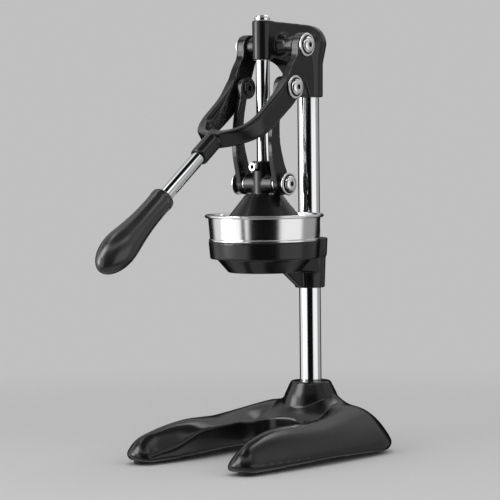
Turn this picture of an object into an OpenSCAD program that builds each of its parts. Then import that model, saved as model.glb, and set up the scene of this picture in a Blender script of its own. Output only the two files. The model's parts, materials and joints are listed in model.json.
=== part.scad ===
/* [Stand] */
// Height of the whole press, from the table to the top of the rod's stop cap
press_h = 450; // [440:1:470]
// Width across the back of the base
base_w = 190; // [180:1:200]
// Distance from the column axis to the front of the toes
base_front = 206; // [196:1:216]
// Distance from the column axis to the back of the base
base_back = 44; // [42:1:48]
// Height of the leg ridges above the table
leg_h = 42; // [38:1:46]
// Clear width between the two legs
leg_gap_w = 74; // [68:1:80]
// Distance from the column axis to the bottom of the U between the legs
leg_gap_back = 42; // [38:1:46]
// Radius of the rounded tip of each toe
toe_r = 18; // [15:0.5:20]
// Distance from the side of the base in to the middle of each toe
toe_inset = 28.5; // [25:0.5:33]
// Height of the column socket's top face
socket_h = 71.5; // [66:0.5:78]
// Radius of the column socket at its top
socket_r = 20.5; // [18:0.5:23]
// Height of the base casting's underside above the table at the feet
base_lift = 3; // [2:0.5:4]
// Diameter of each rubber foot
foot_d = 18; // [14:0.5:20]
// Depth that a rubber foot is let into the base
foot_sink = 1.5; // [1:0.25:2]
// Distance from the side of the base in to the front feet
foot_front_inset = 27; // [25:0.5:31]
// Distance from the column axis to the front feet
foot_front_y = 188; // [180:1:192]
// Distance from the side of the base in to the back feet
foot_rear_inset = 29; // [25:1:35]
// Distance from the column axis to the back feet
foot_rear_y = 24; // [16:1:26]

/* [Column] */
// Outside diameter of the column tube
column_d = 22.6; // [20:0.2:24]
// Wall of the column tube
column_wall = 2; // [1.5:0.25:3]
// Height at which the column tube stands in its socket
column_seat_z = 17; // [15:0.5:20]
// Distance from the column axis to the guide rod's axis
reach = 74.3; // [73:0.1:78]
// Slip clearance round a tube, pin or shank in its hole
slip = 0.06; // [0.03:0.01:0.1]

/* [Head] */
// Height of the guide boss on the front of the head
guide_h = 40; // [34:1:44]
// Radius of the guide boss
guide_r = 10.25; // [10:0.25:11]
// Height of the stop cap on top of the rod
stop_cap_h = 6; // [4:0.5:8]
// Depth of the lever pivot below the top of the head
pivot_drop = 25.2; // [24:0.2:28]
// Distance from the guide rod's axis back to the lever pivot
pivot_setback = 20.3; // [19:0.1:22]
// Radius of the cross barrel that carries the lever pivot
barrel_r = 10; // [9:0.1:10.2]
// Height of the head casting, from the bottom of its sleeve to its top
head_h = 77.5; // [72:0.5:84]
// Radius of the column sleeve at its bottom
sleeve_r = 15.3; // [14.8:0.1:16.6]
// Radius of the column sleeve near its top
sleeve_top_r = 19.6; // [18.4:0.1:20.6]

/* [Lever] */
// Downward slope of the lever in the closed position, degrees
lever_tilt = 36; // [32:1:40]
// Distance from the lever pivot to the far end of the grip
lever_reach = 340.3; // [330:0.1:360]
// Distance from the pivot down to the lever tube's axis, square to the tube
lever_drop = 19.1; // [18:0.1:20.4]
// Distance from the lever pivot to the front of the fork
fork_len = 137; // [130:1:145]
// Thickness of each fork arm at the pivot
arm_t = 10.3; // [9:0.1:12]
// Distance from the middle plane to the inner face of each arm
arm_in = 30.5; // [30:0.1:34]
// Radius of the fork's pivot eyes
eye_r = 12.3; // [11.5:0.1:13.5]
// Distance from the lever pivot to the link pivot
crank_len = 46.3; // [44:0.1:48]
// Lean of the link pivot forward of straight down, degrees
crank_lean = 22.9; // [21:0.1:26]
// Outside diameter of the lever tube
lever_d = 14; // [12:0.5:15]
// Wall of the lever tube
lever_wall = 1.5; // [1:0.25:2]
// Radius of the fork's socket for the lever tube
mouth_r = 9.5; // [9:0.25:11]
// Length of the fork's socket beyond the front of the fork
mouth_len = 27; // [22:1:32]
// Length of the grip
grip_len = 111; // [104:1:120]
// Largest radius of the grip
grip_r = 17; // [15:0.1:19]
// Greatest lift of the lever from the closed position, degrees
lever_swing = 97; // [80:1:100]

/* [Links] */
// Distance between the two pivots of a link
link_len = 97.3; // [94:0.1:101]
// Distance from the middle plane to the inner face of each link
link_in = 20.4; // [20:0.1:22]
// Thickness of each link's bar
link_t = 6.2; // [5:0.1:7]
// Radius of each link's upper eye
link_eye_r = 11.2; // [10.5:0.1:12]
// Radius of each link's lower eye
link_foot_r = 11.4; // [10.5:0.1:11.8]

/* [Fasteners] */
// Radius of the pivot screws' washers
washer_r = 12; // [11:0.25:12.25]
// Thickness of the pivot screws' washers
washer_t = 1.4; // [1:0.1:2]
// Radius of the pivot screws' round heads
head_r = 8.6; // [7.5:0.1:9.5]
// Height of the pivot screws' round heads
head_rise = 3.2; // [2.5:0.1:4]
// Radius of the pivot screws' shanks
shank_r = 4; // [3:0.25:5]
// Hexagon key size of the pivot screws, across the flats
key_w = 5; // [4:0.5:6]
// Radius of the small set screws
set_screw_r = 3; // [2.5:0.25:3.5]

/* [Press and bowl] */
// Diameter of the guide rod
rod_d = 14; // [13:0.5:15]
// Radius of the press hub
hub_r = 11.8; // [11:0.1:12.5]
// Height of the hub above its cross boss axis
hub_rise = 22.9; // [20:0.5:26]
// Radius of the hub's cross boss
cross_r = 11; // [10:0.1:11.2]
// Distance from the cross boss axis down to the top of the press bell
bell_drop = 11.3; // [11.2:0.1:13]
// Radius of the press bell at its top
bell_top_r = 19.2; // [17:0.1:19.6]
// Radius of the press bell's skirt
bell_r = 43; // [40:0.5:45]
// Wall of the press bell
bell_wall = 4.5; // [3.5:0.25:5.5]
// Height of the press bell
bell_h = 49; // [46:1:51]
// Radius of the bowl's rolled rim
rim_r = 60.6; // [59:0.1:62]
// Distance from the cross boss axis down to the bowl's rim
rim_drop = 31; // [29.5:0.5:33]
// Height of the bowl's bright band, from its seat to its rim
band_h = 27; // [24:0.5:30]
// Depth of the bowl below its seat
bowl_sink = 13.5; // [11:0.5:15]
// Wall of the steel bowl
bowl_wall = 1.2; // [0.8:0.1:1.6]
// Wall of the bowl holder's ring
ring_wall = 4; // [3:0.25:5]
// Height of the bowl holder's ring
ring_h = 18; // [16:0.5:20]
// Height of the funnel below the ring
funnel_h = 14; // [11:0.5:16]
// Height of the clamp on the column
clamp_h = 52; // [47:0.5:57]
// Number of ribs on the reamer
reamer_ribs = 10; // [8:1:12]
// Number of pressing ribs inside the bell
bell_ribs = 8; // [6:1:10]

/* [Hidden] */
$fn = 64;

// Overrun of every cut beyond the face it opens
cut = 1;
// Flat play between faces of pieces that turn or slide against each other
play = 0.3;
// Paint and chrome as the photo shows them
gloss_black = [0.05, 0.05, 0.055];
chrome_grey = [0.82, 0.83, 0.85];
steel_grey = [0.7, 0.71, 0.73];
rubber_black = [0.09, 0.09, 0.09];
bush_white = [0.86, 0.85, 0.8];

// Heights and places that follow from the driving sizes
column_r = column_d / 2;
rod_r = rod_d / 2;
lever_r = lever_d / 2;
rod_y = -reach;
head_top_z = press_h - stop_cap_h;
pivot_y = rod_y + pivot_setback;
pivot_z = head_top_z - pivot_drop;
link_pivot_y = pivot_y - crank_len * sin(crank_lean);
link_pivot_z = pivot_z - crank_len * cos(crank_lean);
cross_z = link_pivot_z - sqrt(pow(link_len, 2) - pow(link_pivot_y - rod_y, 2));
link_tilt = asin((rod_y - link_pivot_y) / link_len);
hub_top_z = cross_z + hub_rise;
bell_top_z = cross_z - bell_drop;
bell_bottom_z = bell_top_z - bell_h;
rim_z = cross_z - rim_drop;
seat_z = rim_z - band_h;
ring_bottom_z = seat_z - ring_h;
funnel_bottom_z = ring_bottom_z - funnel_h;
clamp_bottom_z = seat_z - clamp_h;
sleeve_bottom_z = head_top_z - head_h;
arm_out = arm_in + arm_t;

// Where the grip ends furthest forward: its nose is half an ellipse on the lever's axis
nose_share = 0.291;
nose_len = grip_len * nose_share;
nose_u = lever_reach - nose_len;
nose_reach = sqrt(pow(nose_len * cos(lever_tilt), 2) + pow(grip_r * sin(lever_tilt), 2));
front_y = pivot_y - nose_u * cos(lever_tilt) + lever_drop * sin(lever_tilt) - nose_reach;
// The part stands with its origin under the middle of its own box
frame_y = -(front_y + base_back) / 2;

module stand_frame() {
    translate([0, frame_y, 0]) children();
}

// A point on a smooth curve that runs through p1 and p2
function curve_point(p0, p1, p2, p3, t) =
    0.5 * ((2 * p1) + (p2 - p0) * t + (2 * p0 - 5 * p1 + 4 * p2 - p3) * t * t
    + (3 * p1 - p0 - 3 * p2 + p3) * t * t * t);

// A smooth line through a few chosen points
function smooth_line(pts, steps) = [
    for (i = [0 : len(pts) - 2])
        for (k = [0 : steps - 1])
            curve_point(pts[max(i - 1, 0)], pts[i], pts[i + 1], pts[min(i + 2, len(pts) - 1)], k / steps),
    pts[len(pts) - 1]
];

function reversed(list) = [for (i = [len(list) - 1 : -1 : 0]) list[i]];
function mirrored_x(list) = [for (p = reversed(list)) [-p[0], p[1]]];

// Points on part of an ellipse
function arc_points(centre, rx, ry, from, to, steps) = [
    for (i = [0 : steps]) centre + [rx * cos(from + (to - from) * i / steps),
                                    ry * sin(from + (to - from) * i / steps)]
];

// A round bar along X
module x_bar(r, x0, x1) {
    translate([x0, 0, 0]) rotate([0, 90, 0]) cylinder(r = r, h = x1 - x0);
}

// A flat outline in Y and Z, given thickness along X
module side_plate(x0, x1) {
    translate([x0, 0, 0]) rotate([90, 0, 90]) linear_extrude(height = x1 - x0) children();
}

// Both sides of the press alike
module both_sides() {
    children();
    mirror([1, 0, 0]) children();
}

module at_pivot() {
    translate([0, pivot_y, pivot_z]) children();
}

module at_link_pivot() {
    translate([0, link_pivot_y, link_pivot_z]) children();
}

module at_cross() {
    translate([0, rod_y, cross_z]) children();
}

// The lever's own frame: forward along the tube is -Y, its upper side is +Z
module at_lever() {
    at_pivot() rotate([lever_tilt, 0, 0]) children();
}

// The base casting

// Radius of the base's rounded back corners
back_corner_r = base_back;
back_corner_x = base_w / 2 - back_corner_r;
toe_x = base_w / 2 - toe_inset;
foot_front_x = base_w / 2 - foot_front_inset;
foot_rear_x = base_w / 2 - foot_rear_inset;
toe_y = -(base_front - toe_r);
base_len = base_front + base_back;
// Height of the casting's outer rim, and how its flank climbs from it
flank_foot_h = 0.24 * leg_h;
flank_rise = 1.28 * leg_h;
flank_run = 0.15 * base_w;
// Extra height of the swelling round the column socket, and how fast it fades
swell_h = 0.56 * leg_h;
swell_fade = 0.8 * socket_r;
// How far the casting's lower edge is tucked in all round, as a share
tuck_share = 0.03;
// Height of the ridge along the base, as shares of its length and of the ridge height
ridge_shares = [
    [0, 0.5], [0.08, 0.74], [0.2, 0.95], [0.31, 1.03], [0.4, 1], [0.5, 0.97],
    [0.64, 1.05], [0.77, 1.14], [0.88, 1.18], [1, 1.18]
];
// Height of the inner edge of the legs, as the same shares
inner_edge_shares = [
    [0, 0.2], [0.08, 0.26], [0.13, 0.32], [0.19, 0.43], [0.24, 0.57], [0.29, 0.69], [0.35, 0.735],
    [0.5, 0.76], [0.58, 0.74], [0.66, 0.73], [0.77, 0.95], [0.88, 1.1], [1, 1.1]
];
// Where the ridge runs, as shares of half the base's width
ridge_x_share = 0.68;
// Places of the rings along the base, as shares of its length
station_shares = [
    0, 0.004, 0.012, 0.024, 0.04, 0.055, 0.072, 0.1, 0.14, 0.18, 0.22, 0.27, 0.32, 0.38, 0.44, 0.5,
    0.56, 0.61, 0.66, 0.7, 0.74, 0.775, 0.81, 0.845, 0.88, 0.91, 0.935, 0.957, 0.975, 0.988, 0.996, 1
];
// Places of the points across one half of a ring, as shares of its half width
across_shares = [0, 0.11, 0.2, 0.28, 0.36, 0.44, 0.52, 0.6, 0.68, 0.75, 0.81, 0.87, 0.92, 0.96, 0.985, 1];

function share_at(table, t, i = 0) =
    (i >= len(table) - 2 || t <= table[i + 1][0]) ?
        curve_point(table[max(i - 1, 0)], table[i], table[i + 1], table[min(i + 2, len(table) - 1)],
                    max(0, min(1, (t - table[i][0]) / (table[i + 1][0] - table[i][0]))))[1]
    : share_at(table, t, i + 1);

// Outer half width of the base at a place along it
function half_width(y) =
    y < toe_y ? toe_x + sqrt(max(0, pow(toe_r, 2) - pow(y - toe_y, 2)))
    : y > 0 ? back_corner_x + sqrt(max(0, pow(back_corner_r, 2) - pow(y, 2)))
    : toe_x + toe_r + (base_w / 2 - toe_x - toe_r) * sin(90 * min(1, (y - toe_y) / (-0.8 * toe_y)));

// Half width of the gap between the legs, which opens towards the toes
gap_opens_share = 0.55;
gap_curve_share = 1.7;
function gap_half(y) =
    let (t = max(0, min(1, (y / toe_y - gap_opens_share) / (1 - gap_opens_share))))
    leg_gap_w / 2 + (toe_x - toe_r - leg_gap_w / 2) * pow(t, gap_curve_share);

// Distance from the edge of the base, seen from above; only the toes are rounded on their inner sides
toe_fade_share = 1.3;
function edge_distance(x, y) =
    y > 0 ? back_corner_r - norm([max(0, abs(x) - back_corner_x), y])
    : y < toe_y ? toe_r - norm([abs(x) - toe_x, y - toe_y])
    : min(half_width(y) - abs(x), base_back - y, abs(x) - gap_half(y) + toe_fade_share * (y - toe_y));

function ridge_height(x, y) =
    let (t = (y + base_front) / base_len, top = leg_h * share_at(ridge_shares, t),
         low = leg_h * share_at(inner_edge_shares, t), edge_x = gap_half(y),
         ridge_x = ridge_x_share * base_w / 2)
    low + (top - low) * sin(90 * max(0, min(1, (abs(x) - edge_x) / (ridge_x - edge_x))));

// Height of the casting's upper surface: the lower of flank and ridge, smoothly blended
function surface_height(x, y) =
    let (d = max(0, edge_distance(x, y)),
         flank = flank_foot_h + flank_rise * (1 - exp(-d / flank_run)),
         swell = swell_h * exp(-max(0, norm([x, y]) - socket_r) / swell_fade))
    pow(pow(flank, -7) + pow(ridge_height(x, y), -7), -1 / 7) + swell;

// Height of the underside, which arches between the feet, less at the flanks, and lifts at the toe tips
arch_rise = 1.5 * base_lift;
flank_arch_share = 0.5;
toe_lift = 0.8 * base_lift;
toe_lift_run = 0.5 * toe_r;
function underside(y, across) =
    base_lift
    + arch_rise * (1 - (1 - flank_arch_share) * pow(across, 4))
      * pow(sin(180 * max(0, min(1, (y + foot_front_y) / (foot_front_y + foot_rear_y)))), 2)
    + toe_lift * pow(max(0, 1 - (y + base_front) / toe_lift_run), 2);

function ring_x(y, i) =
    let (n = len(across_shares) - 1) (i < 0 ? -1 : 1) * half_width(y) * across_shares[abs(i)];

module base_shell() {
    n = len(across_shares) - 1;
    rings = len(station_shares);
    wide = 2 * n + 1;
    ys = [for (s = station_shares) s * base_len - base_front];
    top = [for (y = ys) for (i = [-n : n]) [ring_x(y, i), y, surface_height(ring_x(y, i), y)]];
    mid_y = (base_back - base_front) / 2;
    bottom = [
        for (y = ys) for (i = [-n : n])
            [(1 - tuck_share) * ring_x(y, i), y - tuck_share * (y - mid_y), underside(y, across_shares[abs(i)])]
    ];
    b = rings * wide;
    up = [
        for (r = [0 : rings - 2]) for (i = [0 : wide - 2])
            each let (a = r * wide + i, c = a + wide) [[a, c, a + 1], [a + 1, c, c + 1]]
    ];
    down = [
        for (r = [0 : rings - 2]) for (i = [0 : wide - 2])
            each let (a = b + r * wide + i, c = a + wide) [[a, a + 1, c], [a + 1, c + 1, c]]
    ];
    sides = [
        for (r = [0 : rings - 2])
            each let (a = r * wide, c = a + wide, e = a + wide - 1, g = c + wide - 1)
                [[a, b + a, c], [c, b + a, b + c], [e, g, b + e], [g, b + g, b + e]]
    ];
    ends = [
        for (i = [0 : wide - 2])
            each let (z = (rings - 1) * wide + i)
                [[i, i + 1, b + i], [i + 1, b + i + 1, b + i], [z, b + z, z + 1], [z + 1, b + z, b + z + 1]]
    ];
    polyhedron(points = concat(top, bottom), faces = concat(up, down, sides, ends));
}

// The gap between the legs seen from above: it widens at the toes and ends in a round
module leg_gap_outline() {
    half = leg_gap_w / 2;
    root = 0.8 * half;
    side = concat(
        [[0, -leg_gap_back]],
        arc_points([half - root, -(leg_gap_back + root)], root, root, 90, 0, 8),
        [for (i = [0 : 8]) let (y = toe_y * (gap_opens_share + (1 - gap_opens_share) * i / 8)) [gap_half(y), y]],
        arc_points([toe_x, toe_y], toe_r, toe_r, 180, 270, 8),
        [[toe_x, -base_front - cut], [0, -base_front - cut]]
    );
    polygon([for (p = concat(side, mirrored_x(side))) p]);
}

// Hollows in the underside of the casting, which leave a wall all round
pocket_wall = 0.22 * leg_gap_w / 2;
leg_pocket_x0 = leg_gap_w / 2 + pocket_wall;
leg_pocket_x1 = 0.82 * base_w / 2;
leg_pocket_r = (leg_pocket_x1 - leg_pocket_x0) / 2;
pocket_top_z = 0.42 * leg_h;

module leg_pocket() {
    linear_extrude(height = pocket_top_z) {
        polygon(concat(
            arc_points([leg_pocket_x0 + leg_pocket_r, 0.8 * toe_y], leg_pocket_r, leg_pocket_r, 180, 360, 12),
            arc_points([leg_pocket_x0 + leg_pocket_r, 0.36 * toe_y], leg_pocket_r, leg_pocket_r, 0, 180, 12)
        ));
    }
}

module foot_place(side, front) {
    x = front ? foot_front_x : foot_rear_x;
    y = front ? -foot_front_y : foot_rear_y;
    translate([side * x, y, 0]) children();
}

module every_foot() {
    for (side = [-1, 1])
        for (front = [true, false])
            foot_place(side, front) children();
}

bolt_r = 0.36 * column_r;
bolt_head_r = 2.1 * bolt_r;
bolt_head_h = 1.3 * bolt_r;
bolt_washer_t = 0.4 * bolt_r;
bolt_floor_z = 0.7 * column_seat_z;
foot_screw_r = 0.11 * foot_d;
foot_screw_len = 0.8 * foot_d;

// The socket's outline from the base up, as shares of its radius and its height
socket_shares = [[1.8, 0.42], [1.7, 0.48], [1.58, 0.58], [1.45, 0.7], [1.33, 0.804], [1.235, 0.863], [1.14, 0.92],
                 [1.03, 0.985], [1, 1]];

module socket_flare() {
    side = smooth_line([for (s = socket_shares) [s[0] * socket_r, s[1] * socket_h]], 3);
    rotate_extrude() polygon(concat([[0, 0.3 * socket_h], [socket_shares[0][0] * socket_r, 0.3 * socket_h]],
                                    side, [[0, socket_h]]));
}

module base_casting() {
    color(gloss_black) stand_frame() difference() {
        union() {
            base_shell();
            socket_flare();
        }
        translate([0, 0, -cut]) linear_extrude(height = 2 * leg_h) leg_gap_outline();
        translate([0, 0, -cut]) cylinder(r = 2 * base_w, h = base_lift + cut);
        both_sides() leg_pocket();
        translate([0, 0, column_seat_z]) cylinder(r = column_r + slip, h = socket_h);
        translate([0, 0, -cut]) cylinder(r = bolt_r + slip, h = socket_h);
        translate([0, 0, -cut]) cylinder(r = bolt_head_r + play, h = bolt_floor_z + cut);
        every_foot() {
            cylinder(r = foot_d / 2 + slip, h = base_lift + foot_sink);
            cylinder(r = foot_screw_r + slip, h = base_lift + foot_screw_len);
        }
    }
}

// A rubber foot with a sunk hole for its screw
module foot(side, front) {
    head_sink = 0.45 * (base_lift + foot_sink);
    color(rubber_black) stand_frame() foot_place(side, front) difference() {
        rotate_extrude() polygon([
            [0, 0], [0.44 * foot_d, 0], [0.5 * foot_d, 0.06 * foot_d],
            [0.5 * foot_d, base_lift + foot_sink], [0, base_lift + foot_sink]
        ]);
        translate([0, 0, -cut]) cylinder(r = 2 * foot_screw_r + play, h = head_sink + cut);
        translate([0, 0, -cut]) cylinder(r = foot_screw_r + slip, h = foot_d);
    }
}

module foot_screws() {
    head_sink = 0.45 * (base_lift + foot_sink);
    head_h = 0.5 * head_sink;
    color(steel_grey) stand_frame() every_foot() difference() {
        union() {
            translate([0, 0, head_sink - head_h]) cylinder(r = 2 * foot_screw_r, h = head_h);
            translate([0, 0, head_sink - head_h]) cylinder(r = foot_screw_r, h = foot_screw_len);
        }
        translate([0, 0, head_sink - 1.4 * head_h]) cylinder(r = foot_screw_r, h = head_h, $fn = 6);
    }
}

// The column, its threaded plug and the bolt that holds it to the base

column_top_z = head_top_z - 0.17 * head_h;
plug_h = 1.1 * column_d;

module column_tube() {
    color(chrome_grey) stand_frame() difference() {
        translate([0, 0, column_seat_z]) cylinder(r = column_r, h = column_top_z - column_seat_z);
        translate([0, 0, column_seat_z - cut]) cylinder(r = column_r - column_wall, h = press_h);
    }
}

module column_plug() {
    color(steel_grey) stand_frame() translate([0, 0, column_seat_z]) difference() {
        cylinder(r = column_r - column_wall - slip, h = plug_h);
        translate([0, 0, -cut]) cylinder(r = bolt_r + slip, h = plug_h + 2 * cut);
    }
}

module column_washer() {
    color(steel_grey) stand_frame() translate([0, 0, bolt_floor_z - bolt_washer_t]) difference() {
        cylinder(r = bolt_head_r, h = bolt_washer_t);
        translate([0, 0, -cut]) cylinder(r = bolt_r + slip, h = bolt_washer_t + 2 * cut);
    }
}

module column_bolt() {
    head_z = bolt_floor_z - bolt_washer_t - bolt_head_h;
    color(steel_grey) stand_frame() translate([0, 0, head_z]) {
        cylinder(r = 0.95 * bolt_head_r, h = bolt_head_h, $fn = 6);
        cylinder(r = bolt_r, h = column_seat_z + 0.8 * plug_h - head_z);
    }
}

// The bowl holder: ring, funnel, arm and column clamp in one casting

ring_r = rim_r - 3 * bowl_wall;
ring_foot_r = ring_r - 0.4 * ring_wall;
bowl_seat_r = ring_r - ring_wall;
funnel_top_r = ring_r - 2 * ring_wall;
funnel_r = 0.65 * ring_r;
funnel_wall = 0.8 * ring_wall;
clamp_top_r = 1.68 * column_r;
clamp_r = 1.5 * column_r;
clamp_foot_r = 1.38 * column_r;
clamp_break_z = seat_z - 0.36 * clamp_h;
gusset_t = 0.75 * column_r;

module bowl_holder() {
    color(gloss_black) stand_frame() difference() {
        union() {
            translate([0, rod_y, 0]) rotate_extrude($fn = 128) polygon([
                [0, funnel_bottom_z], [funnel_r, funnel_bottom_z], [funnel_top_r, ring_bottom_z],
                [ring_foot_r, ring_bottom_z], [ring_r, seat_z], [0, seat_z]
            ]);
            translate([0, 0, clamp_break_z])
                cylinder(r1 = 1.6 * column_r, r2 = clamp_top_r, h = seat_z - clamp_break_z);
            translate([0, 0, clamp_bottom_z])
                cylinder(r1 = clamp_foot_r, r2 = clamp_r, h = clamp_break_z - clamp_bottom_z + cut);
            side_plate(-clamp_top_r, clamp_top_r) polygon([
                [0, clamp_break_z], [0, seat_z], [rod_y, seat_z], [rod_y + 0.7 * funnel_r, ring_bottom_z]
            ]);
            side_plate(-clamp_foot_r, clamp_foot_r) polygon([
                [0, clamp_bottom_z + 0.3 * clamp_h], [0, seat_z], [rod_y + funnel_r, seat_z],
                [rod_y + 0.9 * funnel_r, funnel_bottom_z + cut]
            ]);
            side_plate(-gusset_t / 2, gusset_t / 2) polygon([
                [-0.5 * column_r, clamp_bottom_z], [-0.5 * column_r, seat_z], [rod_y + 0.6 * funnel_r, seat_z],
                [rod_y + 0.75 * funnel_r, funnel_bottom_z], [-1.9 * column_r, clamp_bottom_z + 0.06 * clamp_h],
                [-clamp_foot_r, clamp_bottom_z]
            ]);
        }
        translate([0, rod_y, 0]) rotate_extrude($fn = 128) polygon([
            [0, funnel_bottom_z - cut], [funnel_r - funnel_wall, funnel_bottom_z - cut],
            [funnel_r - funnel_wall, funnel_bottom_z],
            [funnel_top_r - funnel_wall, ring_bottom_z + 0.5 * funnel_wall],
            [bowl_seat_r, ring_bottom_z + funnel_wall], [bowl_seat_r, seat_z + cut], [0, seat_z + cut]
        ]);
        translate([0, 0, clamp_bottom_z - cut]) cylinder(r = column_r + slip, h = clamp_h + 2 * cut);
        back_screw_places(clamp_bottom_z, clamp_h) y_bore();
    }
}

// Two set screws in the back of a sleeve that is clamped on the column
module back_screw_places(z0, h) {
    for (share = [0.28, 0.72]) translate([0, 0, z0 + share * h]) children();
}

module y_bore() {
    translate([0, column_r - cut, 0]) rotate([-90, 0, 0]) cylinder(r = set_screw_r + slip, h = 2 * column_r);
}

module back_screw(outer_r) {
    len = outer_r - column_r - slip;
    translate([0, column_r + slip, 0]) rotate([-90, 0, 0]) difference() {
        cylinder(r = set_screw_r, h = len);
        translate([0, 0, len - set_screw_r]) cylinder(r = 0.55 * set_screw_r, h = 2 * set_screw_r, $fn = 6);
    }
}

module holder_set_screws() {
    color(steel_grey) stand_frame() back_screw_places(clamp_bottom_z, clamp_h) back_screw(clamp_foot_r);
}

// The strainer bowl, with its perforated floor

floor_z = seat_z - bowl_sink;
bowl_body_r = bowl_seat_r - slip - play;
spigot_r = 0.1 * rim_r;
bead_r = 1.4 * bowl_wall;
band_top_r = rim_r - 2 * bead_r;
band_foot_r = band_top_r - 1.4 * bowl_wall;
// Rings of drain holes: radius as a share of the floor's radius, and the number of holes
drain_shares = [0.8, 0.9];
drain_counts = [28, 32];
drain_r = 0.028 * rim_r;

module strainer_bowl() {
    w = bowl_wall;
    color(chrome_grey) stand_frame() translate([0, rod_y, 0]) difference() {
        union() {
            rotate_extrude($fn = 128) polygon([
                [0, floor_z], [bowl_body_r - 3 * w, floor_z], [bowl_body_r, floor_z + 3 * w],
                [bowl_body_r, seat_z + slip], [band_foot_r + 0.9 * w, seat_z + slip],
                [band_foot_r + 0.9 * w, seat_z + 1.6 * w],
                [band_foot_r, seat_z + 2 * w], [band_top_r, rim_z - bead_r],
                [band_top_r - w, rim_z - bead_r], [band_foot_r - w, seat_z + 2 * w],
                [bowl_body_r - w, seat_z + w], [bowl_body_r - w, floor_z + 3 * w],
                [bowl_body_r - 3.4 * w, floor_z + w], [0, floor_z + w]
            ]);
            rotate_extrude($fn = 128) translate([rim_r - bead_r, rim_z - bead_r]) circle(r = bead_r, $fn = 24);
        }
        translate([0, 0, floor_z - cut]) cylinder(r = spigot_r + slip, h = 2 * w + 2 * cut);
        for (k = [0 : len(drain_shares) - 1])
            for (i = [0 : drain_counts[k] - 1])
                rotate([0, 0, 360 * (i + 0.5 * k) / drain_counts[k]])
                    translate([drain_shares[k] * (bowl_body_r - 3 * w), 0, floor_z - cut])
                        cylinder(r = drain_r, h = w + 2 * cut, $fn = 16);
    }
}

// The reamer under the press bell, and the nut that holds it to the bowl's floor

reamer_base_z = floor_z + bowl_wall;
reamer_base_h = 2.4 * bowl_wall;
bell_skirt_h = 0.36 * bell_h;
bell_bore_top_z = bell_top_z - 1.6 * bell_wall;
press_gap = 1.75 * bell_wall;
reamer_top_z = bell_bore_top_z - 1.25 * press_gap;
reamer_r = bell_r - bell_wall - 1.1 * press_gap;
reamer_base_r = 1.03 * reamer_r;
nut_h = 4.5 * bowl_wall;

module reamer_cone() {
    top_r = 0.12 * reamer_r;
    foot_z = reamer_base_z + reamer_base_h;
    rise = reamer_top_z - foot_z;
    rib_t = 0.07 * reamer_r;
    color(steel_grey) stand_frame() translate([0, rod_y, 0]) {
        rotate_extrude() polygon([
            [0, floor_z - nut_h], [spigot_r, floor_z - nut_h], [spigot_r, reamer_base_z],
            [reamer_base_r, reamer_base_z], [reamer_base_r, foot_z], [0.86 * reamer_r, foot_z],
            [0.7 * reamer_r, foot_z + 0.3 * rise], [0.36 * reamer_r, foot_z + 0.74 * rise],
            [top_r, reamer_top_z - 0.05 * rise], [0, reamer_top_z - 0.03 * rise]
        ]);
        for (i = [0 : reamer_ribs - 1])
            rotate([90, 0, 360 * i / reamer_ribs]) translate([0, 0, -rib_t / 2]) linear_extrude(height = rib_t)
                polygon([
                    [0, foot_z - 0.5 * reamer_base_h], [reamer_r, foot_z - 0.5 * reamer_base_h],
                    [0.86 * reamer_r, foot_z + 0.3 * rise], [0.5 * reamer_r, foot_z + 0.74 * rise],
                    [1.3 * top_r, reamer_top_z], [0, reamer_top_z]
                ]);
    }
}

module reamer_nut() {
    color(steel_grey) stand_frame() translate([0, rod_y, floor_z - nut_h]) difference() {
        cylinder(r = 1.9 * spigot_r, h = nut_h, $fn = 6);
        translate([0, 0, -cut]) cylinder(r = spigot_r + slip, h = nut_h + 2 * cut);
    }
}

// The head: guide boss, cross barrel and column sleeve in one casting

guide_bottom_z = head_top_z - guide_h;
bush_wall = 0.17 * rod_r;
bush_r = rod_r + slip + bush_wall;
bush_h = 0.3 * guide_h;
shaft_r = 0.6 * barrel_r;
// Side play of the fork between the upper pivot washers
fork_play = 0.5;
shaft_half = arm_out + fork_play;
// The web seen from the side, forwards and upwards, as shares of the reach and of the head's height
web_under_shares = [[1, 0.51], [0.84, 0.505], [0.53, 0.43], [0.31, 0.25], [0.19, 0]];
web_top_shares = [[0, 0.9], [0.06, 0.935], [0.15, 0.957], [0.5, 0.975], [1, 0.995]];

// Half width of the web at the column and at the guide boss
web_half = 0.88 * sleeve_r;
web_front_half = 0.97 * guide_r;
shoulder_r = 0.8 * sleeve_top_r;

module head_web() {
    under = smooth_line([for (s = web_under_shares) [rod_y * s[0], sleeve_bottom_z + head_h * s[1]]], 4);
    over = [for (s = web_top_shares) [rod_y * s[0], sleeve_bottom_z + head_h * s[1]]];
    plan = [[web_half, 0], [web_half, 0.2 * rod_y], [web_front_half, 0.85 * rod_y], [web_front_half, rod_y]];
    intersection() {
        side_plate(-web_half, web_half) polygon(concat(under, [[0, sleeve_bottom_z]], over));
        linear_extrude(height = press_h) polygon(concat(plan, mirrored_x(plan)));
    }
}

module head_sleeve() {
    shoulder_h = 1.25 * shoulder_r;
    top = arc_points([sleeve_top_r - shoulder_r, head_top_z - 0.045 * head_h - shoulder_h],
                     shoulder_r, shoulder_h, 0, 90, 10);
    rotate_extrude() polygon(concat([[0, sleeve_bottom_z], [sleeve_r, sleeve_bottom_z],
                                     [1.02 * sleeve_r, sleeve_bottom_z + 0.45 * head_h]], top,
                                    [[0, head_top_z - 0.045 * head_h]]));
}

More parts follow.
